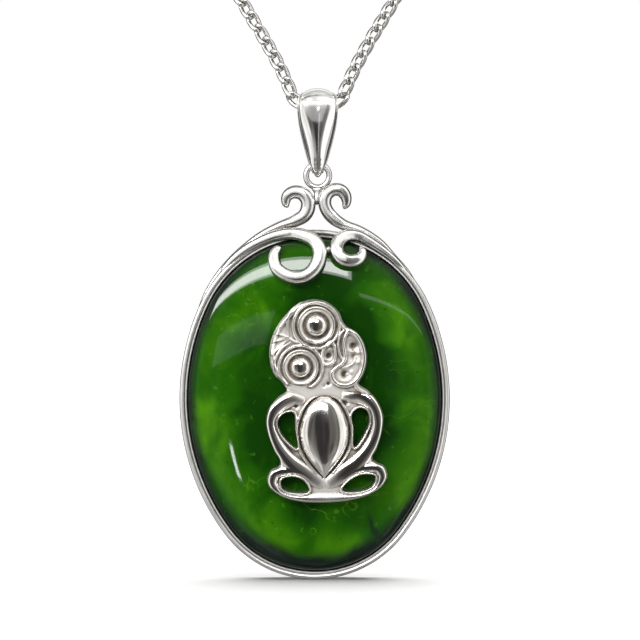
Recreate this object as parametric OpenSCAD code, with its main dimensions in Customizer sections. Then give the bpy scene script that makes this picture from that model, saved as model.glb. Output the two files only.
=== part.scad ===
// Figure pendant on a curb chain: a domed green stone in an oval metal setting,
// with a cast standing figure on its face, a scrolled top, a drop-shaped bail
// and a whole necklace chain. Millimetres. +Z is up and the front faces -Y.
// The origin is the middle of the clasp, at the nape, where the loop is held.

/* [Chain] */
// Height from the nape to the lowest point of the chain
chain_drop = 175; // [175:0.1:175.2]
// Outer diameter of the tube that stands for the curb links
chain_d = 1.2; // [1:0.05:1.25]
// Spacing of the rings along the tube
chain_ring_step = 6.5; // [6.5:0.5:8]

/* [Clasp] */
// Thickness of the clasp, front to back
clasp_t = 1.2; // [0.8:0.1:1.3]
// Radius of the eye in the clasp
clasp_eye_r = 0.6; // [0.55:0.01:0.62]
// Distance from the middle of the clasp to the middle of its eye
clasp_eye_x = 4.6; // [4.55:0.01:4.65]
// Distance from the middle of the clasp to each jump ring's centre
jump_ring_x = 6; // [5.95:0.01:6.05]
// Radius of a jump ring, to the middle of its wire
jump_ring_r = 1.5; // [1.48:0.01:1.52]
// Wire diameter of a jump ring
jump_wire_d = 0.7; // [0.5:0.05:0.7]

/* [Bail] */
// Height from the chain's lowest point down to the middle of the ring's top wire
bail_drop = 7.2; // [7.2:0.01:7.25]
// Width of the plain rim along each edge of the bail
bail_rim_w = 0.4; // [0.2:0.05:0.45]

/* [Ring] */
// Radius of the top ring, to the middle of its wire
ring_r = 1.39; // [1.38:0.01:1.42]
// Wire diameter of the top ring
ring_wire_d = 0.7; // [0.6:0.05:0.7]

/* [Setting] */
// Half the width of the oval setting
oval_a = 16.16; // [15.9:0.02:16.3]
// Height of the oval above its widest line
oval_top = 20.16; // [20:0.02:20.3]
// Height of the oval below its widest line
oval_bottom = 21.6; // [21.4:0.1:21.8]
// Radius of the long side arcs
oval_side_r = 27; // [26.5:0.1:28]
// Height from the top ring's wire down to the widest line of the oval
oval_drop = 28.07; // [28.05:0.01:28.1]
// How far the oval lies to the left of the hanging line
oval_shift = 0.36; // [0.3:0.01:0.4]
// Width of the rounded outer rim
rim_w = 0.67; // [0.5:0.01:0.7]
// Width of the rim and the inner lip together
wall_w = 0.92; // [0.8:0.01:0.95]
// Height of the rounded rim in front of the ring's plane
rim_front = 1.5; // [1.4:0.05:1.55]
// How far the inner lip is lower than the rounded rim
lip_drop = 0.2; // [0.1:0.05:0.3]
// Depth of the setting behind the ring's plane
wall_back = 1.65; // [1.6:0.05:2]
// Width of the back ledge, from the outside of the setting
ledge_w = 2.4; // [1.8:0.1:3]
// Thickness of the back ledge
ledge_t = 0.5; // [0.4:0.05:0.6]

/* [Stone] */
// Gap between the stone and the metal around it
stone_gap = 0.12; // [0.08:0.01:0.15]
// Rise of the dome above the edge of the stone
dome_rise = 2.6; // [2.2:0.05:2.65]
// How flat the middle of the dome is
dome_flat = 3; // [2.4:0.1:3.5]
// How steep the shoulder of the dome is
dome_steep = 2.2; // [2:0.1:2.4]

/* [Figure] */
// Thickness of the figure's plate
plate_t = 1; // [0.8:0.05:1.1]
// Gap between the stone's top and the back of the figure
figure_gap = 0.05; // [0.04:0.01:0.1]
// Wire radius of the raised rim around each eye
eye_rim = 0.3; // [0.2:0.01:0.32]

/* [Hidden] */
$fn = 96;
silver = [0.80, 0.79, 0.77];
jade = [0.16, 0.36, 0.08];

eye_z = -chain_drop - bail_drop;
stone_inset = wall_w + stone_gap;
stone_back = -wall_back + ledge_t + 0.05;
stone_edge = rim_front - lip_drop - 0.1;
dome_top = stone_edge + dome_rise;
figure_back = dome_top + figure_gap;
plate_top = figure_back + plate_t;

// Half of the chain's route, from beside the clasp round the neck and down
// to the bail. Columns: across, up. The other half is its mirror.
CHAIN_HALF = [
    [8, -0.5],
    [20.2, -3.5],
    [33.8, -10.6],
    [45.2, -21.2],
    [53.6, -34.4],
    [58.2, -49.6],
    [59, -65.2],
    [55.9, -80.5],
    [51.4, -90.5],
    [39, -112],
    [26.3, -133.6],
    [13.6, -155.1],
    [9.5, -162],
    [3.65, -172.2],
    [3.12, -173.4],
    [2.72, -174.3],
    [2.1, -174.86],
    [1.2, -174.98],
];

// Upper half of the clasp's outline and of the opening behind its hook.
// Columns: across, up.
CLASP_OUTLINE = [[-5.6, 0], [-5.1, 0.9], [-4, 0.95], [-2.6, 1.1], [0, 1.9], [2.6, 2.3], [5, 1.5], [5.95, 0]];
CLASP_GAP = [[-0.6, 0], [0.4, 0.8], [2.6, 1.4], [4.5, 0.9], [5.15, 0]];

// The bail from the side, from the middle of its top down its front to the
// bottom bend. Columns: distance in front, height above the chain, half width,
// thickness of the rim, rise of the crown outside it, rise of the inner face.
BAIL_HALF = [
    [0, 1.05, 1.92, 0.35, 0.6, 0],
    [0.73, 0.9, 2.05, 0.35, 0.64, 0],
    [1.34, 0.49, 2.36, 0.35, 0.68, 0],
    [1.75, -0.12, 2.48, 0.35, 0.7, 0],
    [1.9, -0.85, 2.44, 0.35, 0.72, 0],
    [1.8, -2.2, 2.3, 0.35, 0.72, 0],
    [1.55, -3.8, 1.97, 0.35, 0.64, 0],
    [1.27, -5.4, 1.56, 0.35, 0.5, 0],
    [1.06, -6.6, 1.22, 0.33, 0.34, 0],
    [0.98, -7.2, 1.02, 0.3, 0.24, 0.02],
    [0.88, -7.6, 0.84, 0.28, 0.2, 0.06],
    [0.58, -7.98, 0.7, 0.24, 0.26, 0.2],
    [0, -8.18, 0.58, 0.18, 0.44, 0.5],
];

// Strands of the scrolled top, seen from the front. Columns: across from the
// hanging line, up from the ring's top wire, height towards the viewer, half
// width, half depth.
UPPER_LEFT = [
    [-14.2, -17.4, 0.2, 0.18, 0.5],
    [-13.4, -15.55, 0.2, 0.26, 0.6],
    [-12.2, -13.65, 0.2, 0.34, 0.7],
    [-10.25, -11.35, 0.2, 0.4, 0.8],
    [-8.7, -9.95, 0.2, 0.43, 0.85],
    [-6.7, -8.5, 0.2, 0.48, 0.9],
    [-4.65, -7.5, 0.2, 0.58, 0.95],
    [-2.55, -6.75, 0.2, 0.76, 1],
    [-1.55, -6.1, 0.2, 0.84, 1],
    [-1.15, -5.2, 0.2, 0.88, 1],
    [-1.2, -4.4, 0.2, 0.86, 1],
    [-1.8, -3.6, 0.2, 0.83, 1],
    [-3, -3.4, 0.2, 0.78, 0.95],
    [-3.7, -3.95, 0.2, 0.67, 0.85],
    [-3.8, -4.7, 0.2, 0.5, 0.7],
    [-3.6, -5.25, 0.2, 0.29, 0.45],
];
UPPER_RIGHT = [
    [12.4, -15.6, 0.2, 0.17, 0.5],
    [11.6, -14.25, 0.2, 0.24, 0.6],
    [10.55, -12.7, 0.2, 0.31, 0.7],
    [9.15, -11.2, 0.2, 0.38, 0.8],
    [7.45, -9.45, 0.2, 0.48, 0.85],
    [5.05, -7.95, 0.2, 0.55, 0.9],
    [3.05, -7.25, 0.2, 0.67, 0.95],
    [1.95, -6.55, 0.2, 0.77, 1],
    [1.2, -5.7, 0.2, 0.78, 1],
    [0.85, -4.75, 0.2, 0.78, 1],
    [1.05, -3.75, 0.2, 0.78, 1],
    [1.85, -3.1, 0.2, 0.78, 1],
    [2.75, -3.15, 0.2, 0.77, 0.95],
    [3.35, -3.85, 0.2, 0.7, 0.85],
    [3.45, -4.65, 0.2, 0.54, 0.7],
    [3.15, -5.4, 0.2, 0.29, 0.45],
];
LOWER_LEFT = [
    [-11.5, -13.05, 0.9, 0.36, 0.5],
    [-10.35, -11.75, 0.95, 0.46, 0.6],
    [-8.7, -10.35, 1, 0.55, 0.7],
    [-6.7, -9.25, 1.05, 0.62, 0.72],
    [-5, -8.65, 1.15, 0.68, 0.74],
    [-3.3, -8.4, 1.5, 0.73, 0.76],
    [-1.65, -8.65, 2.35, 0.79, 0.78],
    [-0.3, -9.4, 2.98, 0.84, 0.8],
    [0.25, -10.5, 3.42, 0.86, 0.8],
    [0.1, -11.7, 3.78, 0.86, 0.8],
    [-0.55, -12.8, 4, 0.84, 0.8],
    [-1.55, -13.5, 4.15, 0.8, 0.78],
    [-2.75, -13.65, 4.15, 0.78, 0.76],
    [-4, -13.25, 4, 0.77, 0.74],
    [-4.95, -12.4, 3.75, 0.74, 0.7],
    [-5.2, -11.3, 3.35, 0.67, 0.62],
    [-4.95, -10.5, 3, 0.55, 0.5],
    [-4.35, -10.05, 2.85, 0.34, 0.34],
];
LOWER_RIGHT = [
    [10.7, -13.3, 0.9, 0.36, 0.5],
    [9.4, -11.8, 0.95, 0.46, 0.6],
    [7.7, -10.4, 1, 0.58, 0.7],
    [6.15, -9.4, 1.05, 0.67, 0.74],
    [4.8, -8.7, 1.2, 0.72, 0.76],
    [3.5, -8.65, 1.75, 0.77, 0.78],
    [2.6, -9.2, 2.46, 0.82, 0.8],
    [2.25, -10.15, 3.2, 0.83, 0.8],
    [2.5, -11.05, 3.53, 0.83, 0.8],
    [3.25, -11.6, 3.64, 0.82, 0.78],
    [4.15, -11.7, 3.55, 0.79, 0.74],
    [5, -11.3, 3.35, 0.7, 0.64],
    [5.3, -10.6, 3, 0.53, 0.5],
    [5.05, -9.95, 2.75, 0.3, 0.34],
];

// Solder between the ring and the two upper scrolls, and between the two
// lower scrolls. Columns as for the strands.
RING_SOLDER = [
    [0, -2.5, 0, 0.95, 0.35],
    [0.02, -3, 0.05, 0.8, 0.4],
    [0, -3.5, 0.1, 0.5, 0.42],
    [-0.1, -4, 0.15, 0.36, 0.45],
    [-0.12, -4.9, 0.15, 0.3, 0.4],
];
SCROLL_SOLDER = [
    [0.8, -10.3, 3.25, 0.3, 0.3],
    [1.3, -10.35, 3.25, 0.38, 0.35],
    [1.8, -10.3, 3.15, 0.3, 0.3],
];

// Outline of the figure and its four pierced gaps, seen from the front and
// measured from the middle of the oval. Columns: across, up.
FIGURE_OUTLINE = [
    [-0.1, 11.85], [1.5, 11.5], [2.9, 10.3], [3.5, 9],
    [3.75, 8.7], [5, 7.9], [6, 6.2], [6.2, 4.6], [5.8, 2.9], [5.25, 1.85],
    [6.3, 1.1], [7.4, -0.15], [8.1, -1.8], [8, -3.6], [7.4, -5.7], [6.9, -7.05],
    [7.3, -7.4], [8.2, -7.85], [8.6, -8.9], [8, -10.2], [6.6, -11.15], [4.4, -11.85],
    [1.5, -12.15], [-1.7, -12.05], [-4.15, -11.3], [-5.35, -10.35], [-5.6, -9.4], [-5.1, -8.35],
    [-4.2, -7.85], [-4.1, -7.6], [-4.8, -6], [-5.5, -4.1], [-5.75, -2.5], [-5.35, -1],
    [-4.3, 0.25], [-3.3, 1.15], [-3.7, 1.75], [-4.8, 3], [-5.35, 4.9], [-5.2, 6.85],
    [-4.65, 8.3], [-3.35, 10.1], [-1.9, 11.35],
];
LEFT_ARM_GAP = [[-2.65, -1.55], [-3.7, -1.8], [-4.3, -2.7], [-3.9, -4], [-3, -5.1], [-2.15, -5.75], [-2.3, -3.5]];
RIGHT_ARM_GAP = [[5.3, -1.05], [6.1, -1.35], [6.4, -2.6], [5.9, -4], [4.7, -5.6], [4.6, -3.5], [4.6, -1.5]];
LEFT_FOOT_GAP = [[-0.7, -10.7], [-1.2, -9.7], [-2.7, -9.15], [-3.9, -9.6], [-3.8, -10.4], [-2.4, -10.95]];
RIGHT_FOOT_GAP = [[3.3, -10.6], [4.3, -9.5], [5.9, -8.85], [7.1, -9.1], [6.9, -10], [5.4, -10.75]];

// Raised limbs and belly of the figure, from the middle of the oval.
// Columns: across, up, height above the plate, half width, half depth.
LEFT_ARM = [
    [-1.9, -0.3, 0, 0.6, 0.4],
    [-3.2, -0.2, 0, 0.8, 0.65],
    [-4.4, -1.1, 0, 0.85, 0.75],
    [-5, -2.6, 0, 0.7, 0.75],
    [-4.7, -4.3, 0, 0.7, 0.75],
    [-3.8, -6, 0, 0.8, 0.75],
    [-2.4, -7.4, 0, 0.95, 0.75],
    [-0.9, -8.6, 0, 0.9, 0.65],
    [0.2, -9.5, 0, 0.7, 0.4],
];
RIGHT_ARM = [
    [4.2, 0.3, 0, 0.8, 0.4],
    [5.6, 0.1, 0, 0.9, 0.65],
    [6.8, -0.9, 0, 0.85, 0.75],
    [7.3, -2.6, 0, 0.72, 0.75],
    [7, -4.4, 0, 0.75, 0.75],
    [6, -6.1, 0, 0.85, 0.75],
    [4.7, -7.5, 0, 0.95, 0.75],
    [3.3, -8.6, 0, 0.9, 0.65],
    [2.2, -9.5, 0, 0.7, 0.4],
];
LEFT_FOOT = [
    [1, -9.6, 0, 0.6, 0.4],
    [-0.9, -8.9, 0, 0.65, 0.6],
    [-2.8, -8.45, 0, 0.6, 0.7],
    [-4.4, -8.8, 0, 0.6, 0.7],
    [-4.8, -9.9, 0, 0.6, 0.7],
    [-3.7, -11, 0, 0.55, 0.65],
    [-1.7, -11.5, 0, 0.5, 0.55],
    [0.6, -11.6, 0, 0.45, 0.4],
];
RIGHT_FOOT = [
    [1.6, -9.6, 0, 0.6, 0.4],
    [3.6, -8.9, 0, 0.65, 0.6],
    [5.6, -8.2, 0, 0.6, 0.7],
    [7.4, -8.2, 0, 0.6, 0.7],
    [7.9, -9.1, 0, 0.6, 0.7],
    [7, -10.4, 0, 0.55, 0.65],
    [5, -11.3, 0, 0.5, 0.55],
    [2.6, -11.6, 0, 0.45, 0.4],
];
BELLY = [
    [1.15, 0.2, 0, 0.4, 0.2],
    [1.15, -0.4, 0, 1.5, 0.75],
    [1.15, -1.4, 0, 2.25, 1.1],
    [1.15, -2.8, 0, 2.75, 1.3],
    [1.15, -4.2, 0, 2.9, 1.35],
    [1.15, -5.6, 0, 2.65, 1.3],
    [1.15, -7, 0, 2, 1.1],
    [1.15, -8.2, 0, 1.2, 0.75],
    [1.15, -9.2, 0, 0.3, 0.2],
];
MOUTH_RIM = [
    [3.2, 7.5, 0, 0.35, 0.35],
    [4.4, 7.7, 0, 0.45, 0.5],
    [5.4, 6.5, 0, 0.5, 0.6],
    [5.6, 4.8, 0, 0.5, 0.6],
    [5, 3, 0, 0.5, 0.6],
    [3.6, 1.9, 0, 0.5, 0.6],
    [2.2, 1.9, 0, 0.5, 0.6],
    [1.7, 3, 0, 0.45, 0.6],
    [2.8, 4.4, 0, 0.4, 0.6],
    [3.4, 5.6, 0, 0.35, 0.5],
    [3.1, 6.9, 0, 0.35, 0.4],
];
BROW = [
    [-4.4, 2.6, 0, 0.45, 0.4],
    [-4.9, 4.4, 0, 0.45, 0.5],
    [-4.7, 6.6, 0, 0.45, 0.5],
    [-3.8, 8.7, 0, 0.5, 0.5],
    [-2.2, 10.5, 0, 0.5, 0.5],
    [0, 11.3, 0, 0.5, 0.5],
    [2, 10.5, 0, 0.5, 0.5],
    [3, 9.2, 0, 0.4, 0.4],
];

// Eyes of the figure, from the middle of the oval.
// Columns: across, up, radius of the rim, radius of the pupil, rise of the pupil.
EYES = [
    [0.2, 8.7, 2.3, 1.25, 0.6],
    [-1.65, 3.8, 2.3, 1.15, 0.6],
];

// Straight-line distance between the places of two rows.
function chord(a, b) = norm([b[0] - a[0], b[1] - a[1], len(a) > 2 ? b[2] - a[2] : 0]);

// Rate of change of a row at station i, weighted by the lengths on each side.
function slope(rows, i, closed) =
    let (
        n = len(rows),
        last = !closed && i == n - 1,
        first = !closed && i == 0,
        here = rows[i],
        next = rows[last ? i : (i + 1) % n],
        prev = rows[first ? i : (i + n - 1) % n],
        h1 = last ? 1 : chord(here, next),
        h0 = first ? 1 : chord(prev, here)
    )
    last ? (here - prev) / h0
    : first ? (next - here) / h1
    : ((here - prev) / h0 * h1 + (next - here) / h1 * h0) / (h0 + h1);

// Point at share t of the smooth curve between two rows a chord h apart.
function blend(a, b, ma, mb, h, t) =
    a * (2 * t * t * t - 3 * t * t + 1)
    + ma * (h * (t * t * t - 2 * t * t + t))
    + b * (3 * t * t - 2 * t * t * t)
    + mb * (h * (t * t * t - t * t));

// Smooth curve through all rows, cut into the given steps between each two.
function smooth(rows, steps, closed = false) =
    let (n = len(rows), spans = closed ? n : n - 1)
    concat(
        [for (i = [0 : spans - 1], k = [0 : steps - 1])
            let (j = (i + 1) % n)
            blend(rows[i], rows[j], slope(rows, i, closed), slope(rows, j, closed),
                chord(rows[i], rows[j]), k / steps)],
        closed ? [] : [rows[n - 1]]
    );

// The same curve with steps no longer than the given spacing.
function smooth_spaced(rows, spacing) =
    let (n = len(rows))
    concat(
        [for (i = [0 : n - 2])
            let (h = chord(rows[i], rows[i + 1]), steps = max(1, round(h / spacing)))
            for (k = [0 : steps - 1])
                blend(rows[i], rows[i + 1], slope(rows, i, false), slope(rows, i + 1, false), h, k / steps)],
        [rows[n - 1]]
    );

// Faces that join rings of points into a skin, closed round each ring.
function skin_faces(rings, sides, looped) =
    [for (i = [0 : (looped ? rings : rings - 1) - 1], j = [0 : sides - 1])
        let (i2 = (i + 1) % rings, j2 = (j + 1) % sides)
        [i * sides + j, i2 * sides + j, i2 * sides + j2, i * sides + j2]];

// The two flat ends of an open skin.
function end_faces(rings, sides) = [
    [for (j = [0 : sides - 1]) j],
    [for (j = [sides - 1 : -1 : 0]) (rings - 1) * sides + j],
];

// Direction of a flat path at station i, from its neighbours.
function heading(path, i, looped) =
    let (
        n = len(path),
        a = path[looped ? (i + n - 1) % n : max(i - 1, 0)],
        b = path[looped ? (i + 1) % n : min(i + 1, n - 1)],
        d = [b[0] - a[0], b[1] - a[1]]
    )
    d / norm(d);

// A tapering strand that lies flat and bulges towards the viewer. Its underside
// bulges by the share named under of what its front does.
module strand(rows, steps, sides, under = 1) {
    path = smooth(rows, steps);
    points = [for (i = [0 : len(path) - 1], j = [0 : sides - 1])
        let (
            t = heading(path, i, false),
            a = 360 * j / sides,
            p = path[i],
            lift = p[4] * sin(a) * (a > 180 ? under : 1)
        )
        [p[0] - t[1] * p[3] * cos(a), p[1] + t[0] * p[3] * cos(a), p[2] + lift]];
    polyhedron(points, concat(skin_faces(len(path), sides, false), end_faces(len(path), sides)));
}

// Turns flat work, drawn with its height towards the viewer, to stand upright.
module upright() {
    rotate([90, 0, 0])
        children();
}

// Radius of the arc that closes the oval at a given height.
function end_radius(h) =
    (oval_side_r * oval_side_r - pow(oval_side_r - oval_a, 2) - h * h) / (2 * (oval_side_r - h));

top_r = end_radius(oval_top);
bottom_r = end_radius(oval_bottom);
top_turn = atan2(oval_top - top_r, oval_side_r - oval_a);
bottom_turn = atan2(oval_bottom - bottom_r, oval_side_r - oval_a);

// Point of the oval whose outward normal points at angle a, moved inwards.
function oval_point(a, inset) =
    let (
        w = a > 180 ? a - 360 : a,
        side = w < 0 ? bottom_turn : top_turn,
        at_side = abs(w) < side || abs(w) > 180 - side,
        centre = at_side
            ? [(abs(w) < 90 ? -1 : 1) * (oval_side_r - oval_a), 0]
            : [0, w < 0 ? bottom_r - oval_bottom : oval_top - top_r],
        r = (at_side ? oval_side_r : w < 0 ? bottom_r : top_r) - inset
    )
    centre + r * [cos(w), sin(w)];

// Outline of the setting's wall, as pairs of inset from the outside and height:
// rounded rim, inner lip and back ledge.
function wall_section() =
    let (rim_r = rim_w / 2, lip_h = rim_front - lip_drop, ledge_h = -wall_back + ledge_t)
    concat(
        [[0, -wall_back]],
        [for (a = [180, 135, 90, 45]) [rim_r + rim_r * cos(a), rim_front - rim_r + rim_r * sin(a)]],
        [[rim_w, lip_h], [wall_w, lip_h], [wall_w, ledge_h], [ledge_w, ledge_h], [ledge_w, -wall_back]]
    );

// Wall of the setting: the section carried round the four arcs of the oval.
module oval_wall() {
    turns = 72;
    section = wall_section();
    sides = len(section);
    points = [for (i = [0 : turns - 1], q = section)
        let (p = oval_point(360 - 360 * i / turns, q[0]))
        [p[0], p[1], q[1]]];
    polyhedron(points, skin_faces(turns, sides, true));
}

// Flat ring of round wire, drawn in the plane that faces the viewer.
module wire_ring(r, wire_d) {
    rotate_extrude()
        translate([r, 0])
            circle(d = wire_d, $fn = 32);
}

// Raised eye from a row of EYES: a rim, a low ring and a domed pupil.
module raised_eye(eye) {
    r = eye[3];
    dome = [for (a = [0 : 15 : 90]) [r * cos(a), eye[4] * sin(a)]];
    translate([eye[0], eye[1], plate_top]) {
        wire_ring(eye[2], 2 * eye_rim);
        wire_ring(r + 0.35, 0.5);
        rotate_extrude()
            polygon(concat([[0, -0.4], [r, -0.4]], dome));
    }
}

// Strand raised on the figure's plate; its underside stays inside the plate.
module raised(rows, sides) {
    translate([0, 0, plate_top])
        strand(rows, 2, sides, 0.6);
}

module chain() {
    rows = concat(
        CHAIN_HALF,
        [[0, -chain_drop]],
        [for (i = [len(CHAIN_HALF) - 1 : -1 : 0]) [-CHAIN_HALF[i][0], CHAIN_HALF[i][1]]]
    );
    path = smooth_spaced(rows, chain_ring_step);
    sides = 8;
    points = [for (i = [0 : len(path) - 1], j = [0 : sides - 1])
        let (t = heading(path, i, false), a = 360 * j / sides, p = path[i], r = chain_d / 2)
        [p[0] - t[1] * r * cos(a), -r * sin(a), p[1] + t[0] * r * cos(a)]];
    color(silver)
        polyhedron(points, concat(skin_faces(len(path), sides, false), end_faces(len(path), sides)));
}

module clasp() {
    color(silver)
        upright()
            translate([0, 0, -clasp_t / 2])
                linear_extrude(clasp_t)
                    difference() {
                        polygon(smooth(mirrored(CLASP_OUTLINE), 4, true));
                        polygon(smooth(mirrored(CLASP_GAP), 4, true));
                        translate([-clasp_eye_x, 0])
                            circle(r = clasp_eye_r, $fn = 32);
                    }
}

// Closes an outline by repeating its upper half below the middle line.
function mirrored(half) = concat(half, [for (i = [len(half) - 2 : -1 : 1]) [half[i][0], -half[i][1]]]);

module clasp_ring(side) {
    color(silver)
        translate([side * jump_ring_x, 0, 0])
            wire_ring(jump_ring_r, jump_wire_d);
}

module clasp_ring_left() {
    clasp_ring(-1);
}

module clasp_ring_right() {
    clasp_ring(1);
}

module bail() {
    back = [for (i = [len(BAIL_HALF) - 2 : -1 : 1])
        let (row = BAIL_HALF[i])
        [-row[0], row[1], row[2], row[3], row[4], row[5]]];
    path = smooth(concat(BAIL_HALF, back), 2, true);
    full_rim_at = 1.5;
    crown_steps = 6;
    inner_steps = 3;
    sides = 2 + crown_steps + 1 + 2 + inner_steps;
    points = [for (i = [0 : len(path) - 1])
        let (
            p = path[i],
            t = heading(path, i, true),
            out = [-t[1], t[0]],
            crown_w = p[2] - bail_rim_w * min(1, p[2] / full_rim_at)
        )
        for (q = concat(
            [[p[2], 0], [p[2], p[3]]],
            [for (k = [0 : crown_steps]) let (a = 180 * k / crown_steps)
                [crown_w * cos(a), p[3] + p[4] * sin(a)]],
            [[-p[2], p[3]], [-p[2], 0]],
            [for (k = [1 : inner_steps]) let (a = 180 * k / (inner_steps + 1))
                [-p[2] * cos(a), -p[5] * sin(a)]]
        ))
            [q[0], -(p[0] + out[0] * q[1]), p[1] + out[1] * q[1]]];
    color(silver)
        translate([0, 0, -chain_drop])
            polyhedron(points, skin_faces(len(path), sides, true));
}

module setting() {
    color(silver)
        translate([0, 0, eye_z])
            upright() {
                translate([-oval_shift, -oval_drop, 0])
                    oval_wall();
                translate([0, -ring_r, 0])
                    wire_ring(ring_r, ring_wire_d);
                for (rows = [UPPER_LEFT, UPPER_RIGHT, LOWER_LEFT, LOWER_RIGHT])
                    strand(rows, 2, 8);
                strand(RING_SOLDER, 1, 8);
                strand(SCROLL_SOLDER, 1, 8);
            }
}

module stone() {
    turns = 72;
    levels = [for (k = [0 : 9]) sin(90 * (1 - k / 10))];
    points = concat(
        [for (j = [0 : turns - 1]) stone_point(j / turns, 1, stone_back)],
        [for (s = levels, j = [0 : turns - 1])
            stone_point(j / turns, s, stone_edge + dome_rise * dome_height(s))],
        [[0, 0, dome_top]]
    );
    rings = len(levels) + 1;
    peak = len(points) - 1;
    last = (rings - 1) * turns;
    color(jade)
        translate([-oval_shift, 0, eye_z - oval_drop])
            upright()
                polyhedron(points, concat(
                    skin_faces(rings, turns, false),
                    [[for (j = [0 : turns - 1]) j]],
                    [for (j = [0 : turns - 1]) [last + j, peak, last + (j + 1) % turns]]
                ));
}

// Point of the stone at share u of the way round and share s of its outline.
function stone_point(u, s, h) =
    let (p = oval_point(360 * u, stone_inset))
    [p[0] * s, p[1] * s, h];

// Share of the dome's full height at share s of its outline.
function dome_height(s) = pow(1 - pow(s, dome_flat), 1 / dome_steep);

module tiki() {
    color(silver)
        translate([-oval_shift, 0, eye_z - oval_drop])
            upright() {
                translate([0, 0, figure_back])
                    linear_extrude(plate_t)
                        difference() {
                            polygon(smooth(FIGURE_OUTLINE, 3, true));
                            for (gap = [LEFT_ARM_GAP, RIGHT_ARM_GAP, LEFT_FOOT_GAP, RIGHT_FOOT_GAP])
                                polygon(smooth(gap, 3, true));
                        }
                for (rows = [LEFT_ARM, RIGHT_ARM, LEFT_FOOT, RIGHT_FOOT, MOUTH_RIM, BROW])
                    raised(rows, 8);
                raised(BELLY, 12);
                for (eye = EYES)
                    raised_eye(eye);
            }
}

chain();
clasp();
clasp_ring_left();
clasp_ring_right();
bail();
setting();
stone();
tiki();
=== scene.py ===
"""Figure pendant on a curb chain, dressed for rendering.

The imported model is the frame: metres, +Z up, the front faces -Y, and the origin is the
middle of the clasp. Shapes are worked out in millimetres and turned to metres in one
place. Flat work is drawn as (across, up, height towards the viewer) and then stood up.
"""

import logging
import math
from dataclasses import dataclass, field
from enum import Enum

import bpy
import numpy as np
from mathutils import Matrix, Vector


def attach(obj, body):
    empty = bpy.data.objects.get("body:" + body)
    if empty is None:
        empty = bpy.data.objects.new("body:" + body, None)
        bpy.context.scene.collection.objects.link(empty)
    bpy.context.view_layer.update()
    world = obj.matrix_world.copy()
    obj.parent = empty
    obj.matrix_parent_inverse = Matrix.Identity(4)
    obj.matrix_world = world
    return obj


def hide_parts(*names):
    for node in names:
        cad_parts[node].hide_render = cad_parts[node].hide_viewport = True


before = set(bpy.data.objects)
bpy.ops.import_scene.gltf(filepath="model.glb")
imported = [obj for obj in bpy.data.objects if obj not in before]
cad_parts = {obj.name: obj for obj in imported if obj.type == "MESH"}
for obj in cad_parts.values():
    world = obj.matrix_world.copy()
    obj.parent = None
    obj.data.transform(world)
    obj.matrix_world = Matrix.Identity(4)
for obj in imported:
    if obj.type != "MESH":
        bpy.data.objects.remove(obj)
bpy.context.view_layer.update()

logging.basicConfig(level=logging.INFO, format="%(message)s")
log = logging.getLogger("pendant")

Array = np.ndarray
Socket = bpy.types.NodeSocket
Material = bpy.types.Material
Object = bpy.types.Object
MM = 0.001
CHAIN_DROP = 175.0
EYE_DROP = CHAIN_DROP + 7.2
OVAL_DROP = EYE_DROP + 28.07
OVAL_SHIFT = -0.36
RANGE_INPUTS = ("From Min", "From Max", "To Min", "To Max")


class Body(Enum):
    """The rigid bodies that a piece can ride on."""

    NECKLACE = "necklace"
    BAIL = "bail"
    PENDANT = "pendant"


class Lit(Enum):
    """The pieces that a lamp lights; light linking keeps it off the others."""

    METAL = "metal"
    NOT_BAIL = "not_bail"
    BAIL = "bail"
    STONE = "stone"
    TRIM = "trim"
    FLOOR = "floor"


# Curves and surfaces


def slopes(rows: Array, closed: bool) -> Array:
    """Rate of change of each row, weighted by the chords on its two sides.

    Args:
        rows: Stations, one to a line, whose first columns are a place.
        closed: True if the last station leads on to the first.

    Returns:
        One rate for each station: the mean of the two neighbouring differences over
        their chords, each weighted by the other chord. Chords are kept above nothing,
        so that two equal stations don't divide by zero.
    """
    place = rows[:, : min(3, rows.shape[1])]
    chords = np.maximum(np.linalg.norm(np.roll(place, -1, axis=0) - place, axis=1), 1e-9)[:, None]
    rates = (np.roll(rows, -1, axis=0) - rows) / chords
    before, h0 = np.roll(rates, 1, axis=0), np.roll(chords, 1, axis=0)
    result = (before * chords + rates * h0) / (h0 + chords)
    if not closed:
        result[0] = rates[0]
        result[-1] = before[-1]
    return result


def smooth(rows: Array, steps: int, closed: bool = False) -> Array:
    """Smooth curve through all stations.

    Args:
        rows: Stations, one to a line; every column is carried along.
        steps: How many steps lie between two stations.
        closed: True if the curve is a loop.

    Returns:
        The curve's stations: a cubic Hermite blend of each two neighbours.
    """
    rows = np.asarray(rows, float)
    rate = slopes(rows, closed)
    a, b = rows, np.roll(rows, -1, axis=0)
    ma, mb = rate, np.roll(rate, -1, axis=0)
    place = slice(0, min(3, rows.shape[1]))
    h = np.linalg.norm(b[:, place] - a[:, place], axis=1)[:, None, None]
    t = (np.arange(steps) / steps)[None, :, None]
    spans = (
        a[:, None] * (2 * t**3 - 3 * t**2 + 1)
        + ma[:, None] * h * (t**3 - 2 * t**2 + t)
        + b[:, None] * (3 * t**2 - 2 * t**3)
        + mb[:, None] * h * (t**3 - t**2)
    )
    if closed:
        return spans.reshape(-1, rows.shape[1])
    return np.vstack([spans[:-1].reshape(-1, rows.shape[1]), rows[-1:]])


def headings(path: Array, closed: bool = False) -> Array:
    """Unit directions of a flat path, from each station's two neighbours.

    Args:
        path: Stations whose first two columns are the place.
        closed: True if the path is a loop.

    Returns:
        One direction (across, up) for each station.
    """
    place = path[:, :2]
    if closed:
        d = np.roll(place, -1, axis=0) - np.roll(place, 1, axis=0)
    else:
        d = np.gradient(place, axis=0)
    return d / np.linalg.norm(d, axis=1)[:, None]


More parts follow.
